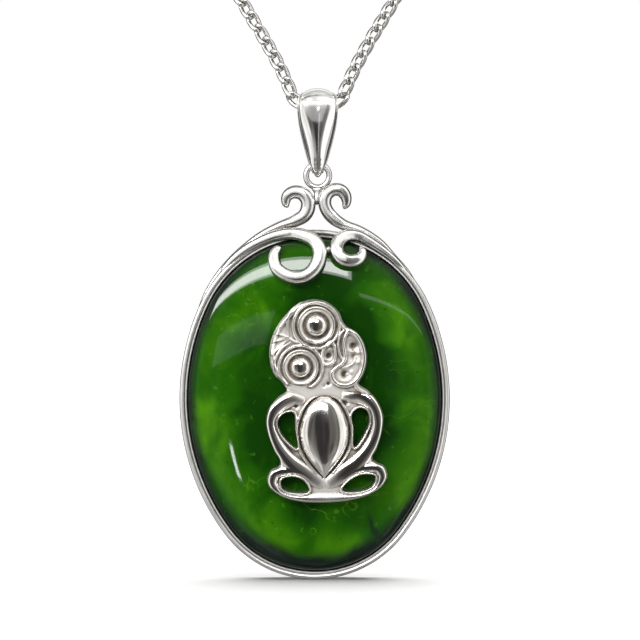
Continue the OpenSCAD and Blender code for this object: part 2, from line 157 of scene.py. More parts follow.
def travelled(path: Array) -> Array:
    """Length along the path at each station, from its first one."""
    steps = np.linalg.norm(np.diff(path[:, :2], axis=0), axis=1)
    return np.concatenate([[0.0], np.cumsum(steps)])


def stand_up(points: Array, drop: float = 0.0, shift: float = 0.0) -> Array:
    """Turns flat work (across, up, height) to stand upright facing the viewer.

    Args:
        points: Places in millimetres; the last axis is (across, up, height).
        drop: How far the flat work's zero lies below the origin.
        shift: How far it lies to the right of the hanging line.

    Returns:
        World places in millimetres: (across + shift, -height, up - drop).
    """
    return np.stack([points[..., 0] + shift, -points[..., 2], points[..., 1] - drop], axis=-1)


def signed_volume(points: Array, faces: Array) -> float:
    """Volume inside closed faces.

    Args:
        points: Places, one to a line.
        faces: Corner numbers, three or four to a face.

    Returns:
        A sixth of the sum of a . (b x c) over the triangles, which is positive if the
        faces turn outward.
    """
    a, b, c = points[faces[:, 0]], points[faces[:, 1]], points[faces[:, 2]]
    volume = np.einsum("ij,ij->i", a, np.cross(b, c)).sum()
    if faces.shape[1] == 4:
        d = points[faces[:, 3]]
        volume += np.einsum("ij,ij->i", a, np.cross(c, d)).sum()
    return float(volume) / 6


@dataclass
class Skin:
    """Closed surfaces gathered into one mesh. Places are world millimetres."""

    name: str
    shade: str = "painted_shading"
    points: list[Array] = field(default_factory=list)
    faces: list[Array] = field(default_factory=list)
    painted_shading: list[Array] = field(default_factory=list)
    satin: list[Array] = field(default_factory=list)
    count: int = 0

    def add(
        self, points: Array, faces: list[Array], painted_shading: Array | None = None, satin: Array | None = None
    ) -> None:
        """Adds one closed surface and turns its faces outward.

        Args:
            points: Places, one to a line.
            faces: Arrays of corner numbers, three or four to a face.
            painted_shading: How dark the metal is at each place, 0 to 1.
            satin: How matt the metal is at each place, 0 to 1.

        Returns:
            Nothing.
        """
        turned = sum(signed_volume(points, part) for part in faces) < 0
        for part in faces:
            part = part[:, ::-1] if turned else part
            self.faces.append(part + self.count)
        self.points.append(points)
        self.painted_shading.append(np.zeros(len(points)) if painted_shading is None else painted_shading)
        self.satin.append(np.zeros(len(points)) if satin is None else satin)
        self.count += len(points)

    def add_grid(
        self, grid: Array, looped: bool = True, painted_shading: Array | None = None, satin: Array | float = 0.0
    ) -> None:
        """Adds a surface given as rings of points.

        Args:
            grid: Places by ring and by step round the ring; each ring is closed.
            looped: True if the last ring joins the first; otherwise both ends are
                closed by a fan round their middle.
            painted_shading: How dark the metal is, on the same grid.
            satin: How matt the metal is, round the ring or all over.

        Returns:
            Nothing.
        """
        rings, sides = grid.shape[:2]
        points = grid.reshape(-1, 3)
        shade = np.zeros(rings * sides) if painted_shading is None else painted_shading.reshape(-1)
        matt = np.broadcast_to(satin, (rings, sides)).reshape(-1)
        i = np.arange(rings if looped else rings - 1)[:, None]
        j = np.arange(sides)[None, :]
        i2, j2 = (i + 1) % rings, (j + 1) % sides
        quads = np.stack(
            np.broadcast_arrays(i * sides + j, i * sides + j2, i2 * sides + j2, i2 * sides + j),
            axis=-1,
        ).reshape(-1, 4)
        faces = [quads]
        if not looped:
            poles = np.array([grid[0].mean(axis=0), grid[-1].mean(axis=0)])
            first = np.arange(sides)
            after = (first + 1) % sides
            low = np.stack([np.full(sides, rings * sides), after, first], axis=-1)
            last = (rings - 1) * sides
            high = np.stack([np.full(sides, rings * sides + 1), last + first, last + after], axis=-1)
            points = np.vstack([points, poles])
            shade = np.concatenate([shade, shade[:1], shade[-1:]])
            matt = np.concatenate([matt, matt[:1], matt[-1:]])
            faces += [low, high]
        self.add(points, faces, shade, matt)

    def build(
        self, body: Body, material: Material, slot: str, nodes: list[str], sharp: float = 40
    ) -> Object:
        """Makes the Blender object and names what it rides on and replaces.

        Args:
            body: The rigid body that the piece moves with.
            material: Its finish.
            slot: The record's material slot; not used.
            nodes: The solids that this piece stands for.
            sharp: Edges that turn by more than this many degrees stay crisp.

        Returns:
            The new object, at the origin.
        """
        mesh = bpy.data.meshes.new(self.name)
        corners = [face for part in self.faces for face in part.tolist()]
        mesh.from_pydata((np.vstack(self.points) * MM).tolist(), [], corners)
        for key, parts in ((self.shade, self.painted_shading), ("satin", self.satin)):
            layer = mesh.attributes.new(key, "FLOAT", "POINT")
            layer.data.foreach_set("value", np.concatenate(parts).astype(np.float32))
        mesh.validate()
        mesh.shade_smooth()
        mesh.set_sharp_from_angle(angle=math.radians(sharp))
        mesh.materials.append(material)
        piece = bpy.data.objects.new(self.name, mesh)
        bpy.context.scene.collection.objects.link(piece)
        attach(piece, body.value)
        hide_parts(*nodes)
        log.info("%s: %d faces", self.name, len(corners))
        return piece


# Finishes


class Graph:
    """A short way to write a shader's nodes and links."""

    def __init__(self, name: str) -> None:
        """Starts an empty material with an output node.

        Args:
            name: The material's name.
        """
        self.material = bpy.data.materials.new(name)
        self.material.use_nodes = True
        self.tree = self.material.node_tree
        self.tree.nodes.clear()
        self.output = self.tree.nodes.new("ShaderNodeOutputMaterial")
        self.place = self.node("ShaderNodeTexCoord").outputs["Object"]

    def node(self, kind: str, **inputs: object) -> bpy.types.Node:
        """Adds a node.

        Args:
            kind: Blender's name for the node type.
            **inputs: Values or sockets for its inputs, with _ for a space.

        Returns:
            The new node.
        """
        made = self.tree.nodes.new(kind)
        for key, value in inputs.items():
            self.feed(made.inputs[key.replace("_", " ")], value)
        return made

    def feed(self, socket: Socket, value: object) -> None:
        """Links a socket to an input, or sets a plain value on it.

        Args:
            socket: The input.
            value: The socket or plain value that it gets.

        Returns:
            Nothing.
        """
        if isinstance(value, Socket):
            self.tree.links.new(value, socket)
        else:
            socket.default_value = value

    def painted(self, key: str) -> Socket:
        """Value of a mesh attribute.

        Args:
            key: The attribute's name.

        Returns:
            The value's socket.
        """
        made = self.node("ShaderNodeAttribute")
        made.attribute_name = key
        return made.outputs["Fac"]

    def noise(
        self, scale: float, detail: float = 3, stretch: tuple | None = None, warp: float = 0
    ) -> Socket:
        """Solid noise in object space.

        Args:
            scale: Features in each metre.
            detail: How many finer layers are added.
            stretch: Scale along each axis before the noise, or None.
            warp: How far the noise bends itself.

        Returns:
            The noise value's socket, about 0.3 to 0.7.
        """
        place = self.place
        if stretch:
            place = self.node("ShaderNodeMapping", Vector=place, Scale=stretch).outputs[0]
        made = self.node("ShaderNodeTexNoise", Vector=place, Scale=scale, Detail=detail, Distortion=warp)
        return made.outputs["Fac"]

    def spread(self, value: Socket, low: float, high: float, to_low: float, to_high: float) -> Socket:
        """Maps a value from one range to another, smoothly and clamped.

        Args:
            value: The value's socket.
            low: The value that becomes to_low.
            high: The value that becomes to_high.
            to_low: The result at low and below.
            to_high: The result at high and above.

        Returns:
            The mapped value's socket.
        """
        made = self.node("ShaderNodeMapRange", Value=value)
        made.interpolation_type = "SMOOTHSTEP"
        for key, number in zip(RANGE_INPUTS, (low, high, to_low, to_high)):
            made.inputs[key].default_value = number
        return made.outputs["Result"]

    def blend(self, share: object, first: object, second: object) -> Socket:
        """Mixes two colours.

        Args:
            share: Share of the second colour, as a socket or a number.
            first: The first colour, as a socket or plain.
            second: The second one.

        Returns:
            The mixed colour's socket.
        """
        made = self.tree.nodes.new("ShaderNodeMix")
        made.data_type = "RGBA"
        self.feed(made.inputs["Factor"], share)
        self.feed(made.inputs[6], first)
        self.feed(made.inputs[7], second)
        return made.outputs[2]

    def math(self, how: str, first: object, second: object = 0.0) -> Socket:
        """Works out one arithmetic step.

        Args:
            how: Blender's name for the step.
            first: The first value, as a socket or a number.
            second: The second value, where the step has one.

        Returns:
            The result's socket.
        """
        made = self.tree.nodes.new("ShaderNodeMath")
        made.operation = how
        self.feed(made.inputs[0], first)
        self.feed(made.inputs[1], second)
        return made.outputs[0]

    def bump(
        self, height: Socket, distance: float, strength: float, under: Socket | None = None
    ) -> Socket:
        """Turns a height into a normal.

        Args:
            height: The height's socket, 0 to 1.
            distance: The real height of 1, in metres.
            strength: How much of it shows.
            under: A normal that this bump is added to.

        Returns:
            The normal's socket.
        """
        made = self.node("ShaderNodeBump", Height=height, Distance=distance, Strength=strength)
        if under is not None:
            self.feed(made.inputs["Normal"], under)
        return made.outputs["Normal"]

    def finish(self, shader: bpy.types.Node) -> Material:
        """Joins the shader to the output and gives the material."""
        self.tree.links.new(shader.outputs[0], self.output.inputs["Surface"])
        return self.material


@dataclass(frozen=True)
class Silver:
    """Polished silver with fine scratches, soft waves and painted shade in its hollows."""

    name: str
    bright: tuple = (0.93, 0.92, 0.90, 1)
    # dark is the colour of the painted shade.
    dark: tuple = (0.13, 0.12, 0.105, 1)
    duller: tuple = (0.80, 0.79, 0.77, 1)
    smooth: float = 0.07
    rough: float = 0.17
    matt: float = 0.28
    waves: float = 0.00002
    pits: float = 0.0
    scratched: float = 1.0

    def build(self) -> Material:
        """Makes the material.

        Returns:
            A metal whose roughness varies with a broad noise, whose colour is
            darkened by painted shade from a mesh attribute, in hollows, gaps and along
            outlines, and whose bump is slow waves of the casting with fine buffing
            scratches on top.
        """
        g = Graph(self.name)
        patches = g.noise(420, 4)
        # Painted shade: darker where the mesh attribute says, frayed by noise, and a little rougher there.
        shaded = g.math("MULTIPLY", g.painted("painted_shading"), g.spread(g.noise(1500, 3), 0.3, 0.7, 0.75, 1.0))
        satin = g.painted("satin")
        plain = g.blend(g.spread(patches, 0.35, 0.65, 0.0, 0.25), self.bright, self.duller)
        colour = g.blend(shaded, plain, self.dark)
        scratches = g.noise(1.0, 2, (9000, 9000, 900))
        fine = g.noise(5200, 3)
        rough = g.spread(patches, 0.3, 0.7, self.smooth, self.rough)
        rough = g.math("ADD", rough, g.math("MULTIPLY", shaded, 0.15))
        rough = g.math("ADD", rough, g.math("MULTIPLY", satin, self.matt))
        normal = g.bump(g.noise(260, 2), self.waves, 0.6)
        normal = g.bump(scratches, 0.000002, 0.25 * self.scratched, normal)
        normal = g.bump(fine, 0.000003, (0.2 + self.pits) * self.scratched, normal)
        shader = g.node(
            "ShaderNodeBsdfPrincipled", Base_Color=colour, Metallic=1.0, Roughness=rough, Normal=normal
        )
        return g.finish(shader)


@dataclass(frozen=True)
class GreenStone:
    """Polished green stone with zones of tone and of painted light and shade, and a painted dark edge."""

    name: str
    deep: tuple = (0.0032, 0.028, 0.0010, 1)
    middle: tuple = (0.010, 0.066, 0.001, 1)
    bright: tuple = (0.040, 0.150, 0.002, 1)
    # edge is the colour of the painted shade at the stone's rim.
    edge: tuple = (0.001, 0.007, 0.003, 1)
    fleck: tuple = (0.070, 0.180, 0.015, 1)
    vein: tuple = (0.004, 0.014, 0.008, 1)

    def build(self) -> Material:
        """Makes the material.

        Returns:
            A glossy surface whose colour goes from deep over middle to bright by the
            glow attribute, which is painted light and shade along with the stone's tone,
            broken up by clouds and streaks of noise. Towards the edge it goes to a painted
            shade, by the distance from the oval's centre as a share of its half sizes.
            It has small pale flecks, dark specks and one dark vein.
        """
        g = Graph(self.name)
        at = g.node("ShaderNodeVectorMath", Vector=g.place)
        at.operation = "SUBTRACT"
        at.inputs[1].default_value = (OVAL_SHIFT * MM, 0.0, -OVAL_DROP * MM)
        share = g.node("ShaderNodeMapping", Vector=at.outputs[0], Scale=(66.0, 0.0, 50.5))
        length = g.node("ShaderNodeVectorMath", Vector=share.outputs[0])
        length.operation = "LENGTH"
        out = length.outputs["Value"]
        clouds = g.noise(150, 5, warp=0.7)
        streaks = g.noise(1.0, 4, (420, 420, 150), warp=0.8)
        # The glow attribute paints broad light and shade into the colour, along with the stone's tone.
        zone = g.math("ADD", g.painted("glow"), g.spread(clouds, 0.3, 0.7, -0.34, 0.34))
        colour = g.blend(g.spread(zone, -0.55, 0.05, 0.0, 1.0), self.deep, self.middle)
        colour = g.blend(g.spread(zone, -0.05, 0.75, 0.0, 1.0), colour, self.bright)
        colour = g.blend(g.spread(streaks, 0.54, 0.74, 0.0, 0.45), colour, self.middle)
        colour = g.blend(g.spread(g.noise(1100, 2), 0.66, 0.74, 0.0, 0.3), colour, self.fleck)
        thread = g.math("ABSOLUTE", g.math("SUBTRACT", g.noise(170, 3, warp=0.4), 0.5))
        where = g.spread(g.noise(130, 1), 0.52, 0.6, 0.0, 0.45)
        threads = g.math("MULTIPLY", g.spread(thread, 0.001, 0.006, 1.0, 0.0), where)
        colour = g.blend(threads, colour, self.fleck)
        # Painted shade: the colour goes dark towards the stone's edge.
        rim = g.spread(g.math("ADD", out, g.math("MULTIPLY", clouds, 0.12)), 0.955, 1.05, 0.0, 1.0)
        colour = g.blend(rim, colour, self.edge)
        colour = g.blend(self.vein_mask(g, at.outputs[0]), colour, self.vein)
        colour = g.blend(g.spread(g.noise(1500, 2), 0.25, 0.31, 0.7, 0.0), colour, self.deep)
        normal = g.bump(g.noise(110, 2), 0.00002, 0.4)
        normal = g.bump(g.noise(3000, 2), 0.000001, 0.15, normal)
        rough = g.spread(g.noise(300, 3), 0.35, 0.65, 0.035, 0.06)
        shader = g.node("ShaderNodeBsdfPrincipled", Base_Color=colour, Roughness=rough, Normal=normal)
        shader.inputs["IOR"].default_value = 1.4
        shader.inputs["Subsurface Weight"].default_value = 0.25
        shader.inputs["Subsurface Radius"].default_value = (0.3, 1.0, 0.2)
        shader.inputs["Subsurface Scale"].default_value = 0.0012
        return g.finish(shader)

    def vein_mask(self, g: Graph, at: Socket) -> Socket:
        """Share of the dark vein at a place.

        Args:
            g: The graph to add to.
            at: The place from the oval's centre, in metres.

        Returns:
            A share that is 1 on the vein's line, which runs down to the right in the
            lower right of the stone, and fades within half a millimetre beside it
            and at its two ends; noise frays it.
        """
        turned = g.node("ShaderNodeMapping", Vector=at)
        turned.vector_type = "TEXTURE"
        turned.inputs["Location"].default_value = (0.0072, 0.0, -0.0158)
        turned.inputs["Rotation"].default_value = (0.0, math.radians(-24), 0.0)
        parts = g.node("ShaderNodeSeparateXYZ", Vector=turned.outputs[0])
        fray = g.math("MULTIPLY", g.math("SUBTRACT", g.noise(700, 4), 0.5), 0.0012)
        beside = g.math("ABSOLUTE", g.math("ADD", parts.outputs["X"], fray))
        along = g.math("ABSOLUTE", parts.outputs["Z"])
        line = g.spread(beside, 0.0001, 0.00045, 0.85, 0.0)
        return g.math("MULTIPLY", line, g.spread(along, 0.0012, 0.0026, 1.0, 0.0))


# The necklace


@dataclass
class CurbChain:
    """Curb chain of interlocking twisted wire links along the hanging loop."""

    pitch: float = 1.79
    half_length: float = 1.2
    half_width: float = 0.54
    twist: float = -0.4
    twist_from: float = -0.3
    slant: float = -3.0
    wire_r: float = 0.262
    # The flat loop at each end, which holds a jump ring: half length and half width.
    end_loop: tuple = (1.3, 0.92)
    steps: int = 28
    sides: int = 12
    half_route: list = field(
        default_factory=lambda: [
            (7.88, -0.1),
            (20.2, -3.5),
            (33.8, -10.6),
            (45.2, -21.2),
            (53.6, -34.4),
            (58.2, -49.6),
            (59, -65.2),
            (55.9, -80.5),
            (51.4, -90.5),
            (39, -112),
            (26.3, -133.6),
            (13.6, -155.1),
            (9.5, -162),
            (3.75, -172.25),
            (3.24, -173.45),
            (2.82, -174.34),
            (2.15, -174.86),
            (1.2, -174.98),
        ]
    )

    def stations(self) -> tuple[Array, Array]:
        """Places and directions of the links.

        Returns:
            The links' centres (across, up), a pitch apart along the route that runs
            down one side, under the bail and up the other, and their directions.
        """
        half = np.array(self.half_route, float)
        route = np.vstack([half, [[0.0, -CHAIN_DROP]], half[::-1] * [-1, 1]])
        line = smooth(route, 60)
        length = travelled(line)
        count = round(length[-1] / self.pitch)
        at = np.linspace(0, length[-1], count + 1)
        centres = np.stack([np.interp(at, length, line[:, k]) for k in (0, 1)], axis=-1)
        return centres, headings(centres)

    def wire(self, a: float, b: float, c: float) -> Array:
        """Surface of one link.

        Args:
            a: Half length of its middle line.
            b: Half width of its middle line.
            c: Twist of its middle line out of the flat.

        Returns:
            Places (along, across, out) round the wire's section at each point of the
            middle line a cos t, b sin t, c sin (2t + twist_from), which is then
            turned by the slant in its own plane.
        """
        t = 2 * np.pi * np.arange(self.steps) / self.steps
        line = np.stack([a * np.cos(t), b * np.sin(t), c * np.sin(2 * t + self.twist_from)], axis=-1)
        ahead = np.stack([-a * np.sin(t), b * np.cos(t), 2 * c * np.cos(2 * t + self.twist_from)], axis=-1)
        ahead /= np.linalg.norm(ahead, axis=1)[:, None]
        beside = np.cross(ahead, [0, 0, 1])
        beside /= np.linalg.norm(beside, axis=1)[:, None]
        over = np.cross(beside, ahead)
        turn = 2 * np.pi * np.arange(self.sides) / self.sides
        ring = beside[:, None] * np.cos(turn)[None, :, None] + over[:, None] * np.sin(turn)[None, :, None]
        wire = line[:, None] + ring * self.wire_r
        lean = math.radians(self.slant) if c else 0.0
        cos, sin = math.cos(lean), math.sin(lean)
        return wire @ np.array([[cos, sin, 0], [-sin, cos, 0], [0, 0, 1]])

    def build(self, material: Material) -> Object:
        """Makes all the links as one mesh.

        Args:
            material: The chain's finish.

        Returns:
            The chain, each link rolled a few degrees by a fixed random draw except
            the ones in the bail, and a quarter turn at the two end loops.
        """
        centres, ways = self.stations()
        count = len(centres)
        local = np.repeat(self.wire(self.half_length, self.half_width, self.twist)[None], count, axis=0)
        local[[0, -1]] = self.wire(*self.end_loop, 0.0)
        roll = np.random.default_rng(7).normal(0, np.radians(5), count)
        roll[np.abs(centres[:, 0]) < 6] = 0
        roll[[0, -1]] = np.pi / 2
        along, across, out = local[..., 0], local[..., 1], local[..., 2]
        c, s = np.cos(roll)[:, None, None], np.sin(roll)[:, None, None]
        side = across * c - out * s
        front = across * s + out * c
        tx, tz = ways[:, 0, None, None], ways[:, 1, None, None]
        flat = np.stack(
            [
                centres[:, 0, None, None] + along * tx - side * tz,
                centres[:, 1, None, None] + along * tz + side * tx,
                front,
            ],
            axis=-1,
        )
        skin = Skin("curb_chain")
        places = stand_up(flat)
        i, j = np.meshgrid(np.arange(self.steps), np.arange(self.sides), indexing="ij")
        i2, j2 = (i + 1) % self.steps, (j + 1) % self.sides
        quads = np.stack(
            [i * self.sides + j, i * self.sides + j2, i2 * self.sides + j2, i2 * self.sides + j], axis=-1
        ).reshape(-1, 4)
        size = self.steps * self.sides
        every = (quads[None] + (np.arange(count) * size)[:, None, None]).reshape(-1, 4)
        # Painted shade: each link darkens towards its ends, where it hooks its neighbours.
        shaded = np.clip(1 - np.abs(across) / self.half_width, 0, 1) ** 2 * 0.6
        skin.add(places.reshape(-1, 3), [every], shaded.reshape(-1))
        return skin.build(Body.NECKLACE, material, "chain_silver", ["chain"], 80)


@dataclass
class Bail:
    """Drop-shaped bail: a deep loop with a crowned face and a plain rim."""

    rim_w: float = 0.3
    full_rim_at: float = 1.5
    groove: float = 0.05
    rows: list = field(
        default_factory=lambda: [
            (0, 1.05, 1.92, 0.35, 0.5, 0),
            (0.73, 0.9, 2.05, 0.35, 0.5, 0),
            (1.34, 0.49, 2.36, 0.35, 0.52, 0),
            (1.75, -0.12, 2.48, 0.35, 0.56, 0),
            (1.9, -0.85, 2.44, 0.35, 0.66, 0),
            (1.8, -2.2, 2.3, 0.35, 0.9, 0),
            (1.55, -3.8, 1.97, 0.35, 0.98, 0),
            (1.27, -5.4, 1.56, 0.35, 0.8, 0),
            (1.06, -6.6, 1.22, 0.33, 0.54, 0),
            (0.98, -7.2, 1.02, 0.3, 0.34, 0.02),
            (0.88, -7.6, 0.84, 0.28, 0.24, 0.06),
            (0.58, -7.98, 0.7, 0.24, 0.26, 0.2),
            (0, -8.18, 0.58, 0.18, 0.44, 0.5),
        ]
    )
    # The back half has a lower crown, because it isn't seen.
    back_crown: float = 0.8
    crown_steps: int = 41
    inner_steps: int = 14
    # How dark the painted shade in the two grooves beside the crown is.
    groove_shade: float = 0.75

    def build(self, material: Material) -> Object:
        """Sweeps the crowned section round the loop.

        Args:
            material: The bail's finish.

        Returns:
            The bail: at each station of the side path the section runs over a flat
            rim, a shallow groove, a crown of height rise * (1 - across^2)^0.7, groove
            and rim, and back along the inner face.
        """
        front = np.array(self.rows, float)
        back = front[-2:0:-1] * [-1, 1, 1, 1, self.back_crown, 1]
        path = smooth(np.vstack([front, back]), 9, True)
        way = headings(path, True)
        outward = np.stack([-way[:, 1], way[:, 0]], axis=-1)
        w, t, rise, sag = (path[:, k, None] for k in (2, 3, 4, 5))
        crown = w - self.rim_w * np.minimum(1, w / self.full_rim_at)
        a = np.linspace(0, np.pi, self.crown_steps)[None]
        dome_x = crown * np.cos(a)
        dome_h = t + (rise + self.groove) * np.sin(a) ** 1.4 - self.groove
        rim_in = crown + 0.04
        right = [
            (w, 0 * t),
            (w, t - 0.05),
            (w - 0.02, t - 0.01),
            (w - 0.06, t),
            (rim_in + 0.05, t),
            (rim_in, t - self.groove),
        ]
        left = [(-x, h) for x, h in right[:0:-1]] + [(-w, 0 * t)]
        b = np.linspace(0, np.pi, self.inner_steps)[None, 1:-1]
        inner_x, inner_h = -w * np.cos(b), -sag * np.sin(b)
        x = np.hstack([p[0] for p in right] + [dome_x] + [p[0] for p in left] + [inner_x])
        h = np.hstack([p[1] for p in right] + [dome_h] + [p[1] for p in left] + [inner_h])
        depth = -(path[:, 0, None] + outward[:, 0, None] * h)
        up = path[:, 1, None] + outward[:, 1, None] * h - CHAIN_DROP
        grid = np.stack([x, depth, up], axis=-1)
        edge = len(right)
        # Painted shade along the two grooves beside the crown.
        painted_shading = np.zeros(x.shape)
        for groove in (edge, edge + self.crown_steps):
            painted_shading[:, groove - 1 : groove + 1] = self.groove_shade
        skin = Skin("bail_drop")
        skin.add_grid(grid, True, painted_shading)
        return skin.build(Body.BAIL, material, "bail_silver", ["bail"], 50)


# The setting


@dataclass(frozen=True)
class Oval:
    """Egg-shaped oval of four arcs: two sides, a top and a bottom."""

    half_width: float = 16.16
    top: float = 20.16
    bottom: float = 21.6
    side_r: float = 27.0

    def end_radius(self, height: float) -> float:
        """Radius of the arc that closes the oval at a given height."""
        reach = self.side_r - self.half_width
        return (self.side_r**2 - reach**2 - height**2) / (2 * (self.side_r - height))

    def points(self, turn: Array, inset: Array) -> Array:
        """Points whose outward normal has a given direction, moved inwards.

        Args:
            turn: Direction of the outward normal, in radians from the right.
            inset: How far each point lies inside the oval.

        Returns:
            (across, up) from the oval's middle: the arc's centre plus its radius
            less the inset, along the normal.
        """
        w = (turn + np.pi) % (2 * np.pi) - np.pi
        low = w < 0
        top_r, bottom_r = self.end_radius(self.top), self.end_radius(self.bottom)
        reach = self.side_r - self.half_width
        end_r = np.where(low, bottom_r, top_r)
        end_z = np.where(low, bottom_r - self.bottom, self.top - top_r)
        limit = np.where(
            low, math.atan2(self.bottom - bottom_r, reach), math.atan2(self.top - top_r, reach)
        )
        at_side = (np.abs(w) < limit) | (np.abs(w) > np.pi - limit)
        centre_x = np.where(at_side, np.where(np.abs(w) < np.pi / 2, -reach, reach), 0)
        centre_z = np.where(at_side, 0, end_z)
        r = np.where(at_side, self.side_r, end_r) - inset
        return np.stack([centre_x + r * np.cos(w), centre_z + r * np.sin(w)], axis=-1)


@dataclass
class Setting:
    """Oval wall, four scrolls, the top ring and its solder, all one piece."""

    oval: Oval = field(default_factory=Oval)
    rim_w: float = 0.67
    wall_w: float = 0.92
    rim_front: float = 1.5
    lip_drop: float = 0.2
    wall_back: float = 1.65
    ledge_w: float = 2.4
    ledge_t: float = 0.5
    ring_r: float = 1.39
    ring_wire_r: float = 0.35
    wall_steps: int = 640
    strand_sides: int = 28
    ring_steps: int = 96
    # The painted shade at the top of the wall, behind the scrolls: its depth and its half width in steps.
    top_shade: tuple = (0.85, 22)
    upper_left: list = field(
        default_factory=lambda: [
            (-14.2, -17.4, 0.2, 0.18, 0.5),
            (-13.4, -15.55, 0.2, 0.26, 0.6),
            (-12.2, -13.65, 0.2, 0.34, 0.7),
            (-10.25, -11.35, 0.2, 0.4, 0.8),
            (-8.7, -9.95, 0.2, 0.43, 0.85),
            (-6.7, -8.5, 0.2, 0.48, 0.9),
            (-4.65, -7.5, 0.2, 0.58, 0.95),
            (-2.55, -6.75, 0.2, 0.76, 1),
            (-1.55, -6.1, 0.2, 0.84, 1),
            (-1.15, -5.2, 0.2, 0.88, 1),
            (-1.2, -4.4, 0.2, 0.86, 1),
            (-1.8, -3.6, 0.2, 0.83, 1),
            (-3, -3.4, 0.2, 0.78, 0.95),
            (-3.7, -3.95, 0.2, 0.67, 0.85),
            (-3.8, -4.7, 0.2, 0.5, 0.7),
            (-3.6, -5.25, 0.2, 0.29, 0.45),
        ]
    )
    upper_right: list = field(
        default_factory=lambda: [
            (12.4, -15.6, 0.2, 0.17, 0.5),
            (11.6, -14.25, 0.2, 0.24, 0.6),
            (10.55, -12.7, 0.2, 0.31, 0.7),
            (9.15, -11.2, 0.2, 0.38, 0.8),
            (7.45, -9.45, 0.2, 0.48, 0.85),
            (5.05, -7.95, 0.2, 0.55, 0.9),
            (3.05, -7.25, 0.2, 0.67, 0.95),
            (1.95, -6.55, 0.2, 0.77, 1),
            (1.2, -5.7, 0.2, 0.78, 1),
            (0.85, -4.75, 0.2, 0.78, 1),
            (1.05, -3.75, 0.2, 0.78, 1),
            (1.85, -3.1, 0.2, 0.78, 1),
            (2.75, -3.15, 0.2, 0.77, 0.95),
            (3.35, -3.85, 0.2, 0.7, 0.85),
            (3.45, -4.65, 0.2, 0.54, 0.7),
            (3.15, -5.4, 0.2, 0.29, 0.45),
        ]
    )
    lower_left: list = field(
        default_factory=lambda: [
            (-11.5, -13.05, 0.9, 0.36, 0.5),
            (-10.35, -11.75, 0.95, 0.46, 0.6),
            (-8.7, -10.35, 1, 0.55, 0.7),
            (-6.7, -9.25, 1.05, 0.62, 0.72),
            (-5, -8.65, 1.15, 0.68, 0.74),
            (-3.3, -8.4, 1.5, 0.73, 0.76),
            (-1.65, -8.65, 2.35, 0.79, 0.78),
            (-0.3, -9.4, 2.98, 0.84, 0.8),
            (0.25, -10.5, 3.42, 0.86, 0.8),
            (0.1, -11.7, 3.78, 0.86, 0.8),
            (-0.55, -12.8, 4, 0.84, 0.8),
            (-1.55, -13.5, 4.15, 0.8, 0.78),
            (-2.75, -13.65, 4.15, 0.78, 0.76),
            (-4, -13.25, 4, 0.77, 0.74),
            (-4.95, -12.4, 3.75, 0.74, 0.7),
            (-5.2, -11.3, 3.35, 0.67, 0.62),
            (-4.95, -10.5, 3, 0.55, 0.5),
            (-4.35, -10.05, 2.85, 0.34, 0.34),
        ]
    )
    lower_right: list = field(
        default_factory=lambda: [
            (10.7, -13.3, 0.9, 0.36, 0.5),
            (9.4, -11.8, 0.95, 0.46, 0.6),
            (7.7, -10.4, 1, 0.58, 0.7),
            (6.15, -9.4, 1.05, 0.67, 0.74),
            (4.8, -8.7, 1.2, 0.72, 0.76),
            (3.5, -8.65, 1.75, 0.77, 0.78),
            (2.6, -9.2, 2.46, 0.82, 0.8),
            (2.25, -10.15, 3.2, 0.83, 0.8),
            (2.5, -11.05, 3.53, 0.83, 0.8),
            (3.25, -11.6, 3.64, 0.82, 0.78),
            (4.15, -11.7, 3.55, 0.79, 0.74),
            (5, -11.3, 3.35, 0.7, 0.64),
            (5.3, -10.6, 3, 0.53, 0.5),
            (5.05, -9.95, 2.75, 0.3, 0.34),
        ]
    )
    solder: list = field(
        default_factory=lambda: [
            [
                (0, -2.55, 0, 0.9, 0.3),
                (0.02, -3, 0, 0.75, 0.34),
                (0, -3.5, 0, 0.45, 0.36),
                (-0.1, -4, 0.05, 0.36, 0.4),
                (-0.12, -4.9, 0.1, 0.3, 0.4),
            ],
            [(0.8, -10.3, 3.25, 0.3, 0.3), (1.3, -10.35, 3.25, 0.38, 0.35), (1.8, -10.3, 3.15, 0.3, 0.3)],
        ]
    )

    def wall(self) -> Array:
        """Surface of the oval wall.

        Returns:
            Places by direction round the oval and by point of the section: outer
            side, round rim, inner lip, inner side and back ledge with small bevels.
        """
        r = self.rim_w / 2
        bevel = 0.08
        lip = self.rim_front - self.lip_drop
        ledge = -self.wall_back + self.ledge_t
        arc = np.radians(np.linspace(180, 20, 17))
        section = np.vstack(
            [
                [[bevel, -self.wall_back], [0, -self.wall_back + bevel], [0, 0]],
                np.stack([r + r * np.cos(arc), self.rim_front - r + r * np.sin(arc)], axis=-1),
                [[self.rim_w, lip - 0.02], [self.wall_w - 0.14, lip], [self.wall_w - 0.06, lip - 0.01]],
                [[self.wall_w, lip - 0.05]],
                [[self.wall_w, ledge], [self.ledge_w - bevel, ledge], [self.ledge_w, ledge - bevel]],
                [[self.ledge_w, -self.wall_back + bevel], [self.ledge_w - bevel, -self.wall_back]],
            ]
        )
        turn = 2 * np.pi * np.arange(self.wall_steps)[:, None] / self.wall_steps
        flat = self.oval.points(turn + 0 * section[None, :, 0], section[None, :, 0])
        height = np.broadcast_to(section[None, :, 1], flat.shape[:2])
        return stand_up(np.concatenate([flat, height[..., None]], axis=-1), OVAL_DROP, OVAL_SHIFT)

